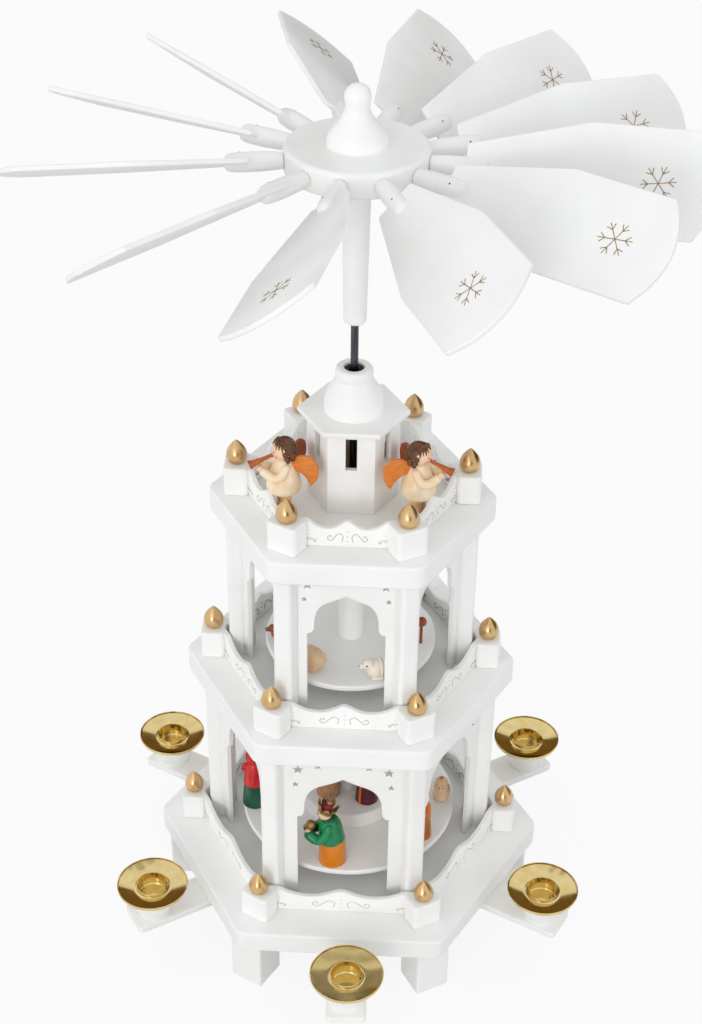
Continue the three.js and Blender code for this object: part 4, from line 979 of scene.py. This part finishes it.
# The studio: a wide white floor that keeps the shadow, a white room whose walls give more light
# than its ceiling, and two gridded softboxes: one from the left front, and a low one that reaches
# into the storeys.
FLOOR_HALF, FLOOR_GLOW, GLOW_SHARE = 6.0, 1.04, 0.85
HORIZON_LIGHT, CEILING_LIGHT, SEEN_LIGHT = 1.26, 0.67, 1.0
LAMP_SPREAD, LAMP_AIM = radians(80), Vector((0, 0, 0.25))
floor_mesh = bpy.data.meshes.new("studio_floor")
floor_mesh.from_pydata([(-FLOOR_HALF, -FLOOR_HALF, 0), (FLOOR_HALF, -FLOOR_HALF, 0),
                        (FLOOR_HALF, FLOOR_HALF, 0), (-FLOOR_HALF, FLOOR_HALF, 0)],
                       [], [(0, 1, 2, 3)])
placed("studio_floor", floor_mesh)


def looked_at(tree):
    """1 for rays that look from the camera, off a mirror or through glass, 0 for stray light."""
    ray = add_node(tree, "ShaderNodeLightPath").node.outputs
    seen = ray["Is Camera Ray"]
    for kind in ("Is Glossy Ray", "Is Transmission Ray"):
        seen = add_node(tree, "ShaderNodeMath", {0: seen, 1: ray[kind]}, operation="MAXIMUM")
    return seen


paper = bpy.data.materials.new("white seamless paper")
tree = bare_tree(paper)
part = {0: looked_at(tree), 1: GLOW_SHARE}
share = add_node(tree, "ShaderNodeMath", part, operation="MULTIPLY")
matte = add_node(tree, "ShaderNodeBsdfDiffuse", {"Color": linear("#cacaca")})
glow = add_node(tree, "ShaderNodeEmission", {"Strength": FLOOR_GLOW})
mixed = add_node(tree, "ShaderNodeMixShader", {0: share, 1: matte, 2: glow})
add_node(tree, "ShaderNodeOutputMaterial", {"Surface": mixed})
floor_mesh.materials.append(paper)

world = bpy.data.worlds.new("white room")
bpy.context.scene.world = world
tree = bare_tree(world)
gaze = add_node(tree, "ShaderNodeTexCoord", result="Generated")
height = add_node(tree, "ShaderNodeSeparateXYZ", {0: gaze}, "Z")
glow = add_node(tree, "ShaderNodeMapRange", {0: height, 3: HORIZON_LIGHT, 4: CEILING_LIGHT})
level = add_node(tree, "ShaderNodeMix", {0: looked_at(tree), 2: glow, 3: SEEN_LIGHT})
sky = add_node(tree, "ShaderNodeBackground", {"Color": linear("#fbfdff"), "Strength": level})
add_node(tree, "ShaderNodeOutputWorld", {"Surface": sky})

LAMPS = (
    ("key_softbox", (-0.95, -1.6, 1.3), 0.9, 0.34),
    ("low_softbox", (-0.6, -2.3, 0.6), 1.0, 2.3),
)
for name, spot, size, watts in LAMPS:
    lamp = bpy.data.lights.new(name, "AREA")
    lamp.shape, lamp.size, lamp.energy = "DISK", size, watts
    lamp.spread = LAMP_SPREAD
    softbox = placed(name, lamp)
    softbox.location = spot
    aim = LAMP_AIM - Vector(spot)
    softbox.rotation_euler = aim.to_track_quat("-Z", "Y").to_euler()

# Brown felt cards stand round the object where only polished metal sees them: they give the brass
# dishes and the gilt finials their dark half.
CARDS = (
    ("tall_card", "#7d6236",
     [(-2.2, 2.5, 0.8), (3.0, 2.3, 0.8), (3.0, 2.3, 2.25), (-2.2, 2.5, 2.25)]),
    ("low_card", "#33281a",
     [(-2.2, 2.5, 0.0), (3.0, 2.3, 0.0), (3.0, 2.3, 0.8), (-2.2, 2.5, 0.8)]),
    ("side_card", "#54462f",
     [(2.6, -0.6, 0.0), (2.9, 2.2, 0.0), (2.9, 2.2, 2.4), (2.6, -0.6, 2.0)]),
    ("front_card", "#33281a",
     [(-1.6, -3.2, 0.0), (1.6, -3.2, 0.0), (1.6, -3.2, 1.5), (-1.6, -3.2, 1.5)]),
)
for name, colour, corners in CARDS:
    mesh = bpy.data.meshes.new(name)
    mesh.from_pydata(corners, [], [(0, 1, 2, 3)])
    felt = bpy.data.materials.new(name + "_felt")
    tree = bare_tree(felt)
    nap = add_node(tree, "ShaderNodeBsdfDiffuse", {"Color": linear(colour)})
    add_node(tree, "ShaderNodeOutputMaterial", {"Surface": nap})
    mesh.materials.append(felt)
    card = placed(name, mesh)
    card.visible_camera = card.visible_diffuse = False
    card.visible_shadow = card.visible_transmission = False

# The camera looks down from the front, from where the photograph was taken, through a lens a
# little longer than normal.
lens = bpy.data.cameras.new("photograph")
lens.sensor_fit, lens.sensor_height, lens.lens = "VERTICAL", 36.0, 63.83
camera = placed("photograph", lens)
camera.location = Vector((34.97, -787.75, 808.42)) * MM
camera.rotation_euler = [radians(a) for a in (55.34, -0.60, 3.01)]
bpy.context.scene.camera = camera
bpy.context.scene.view_settings.view_transform = "Standard"
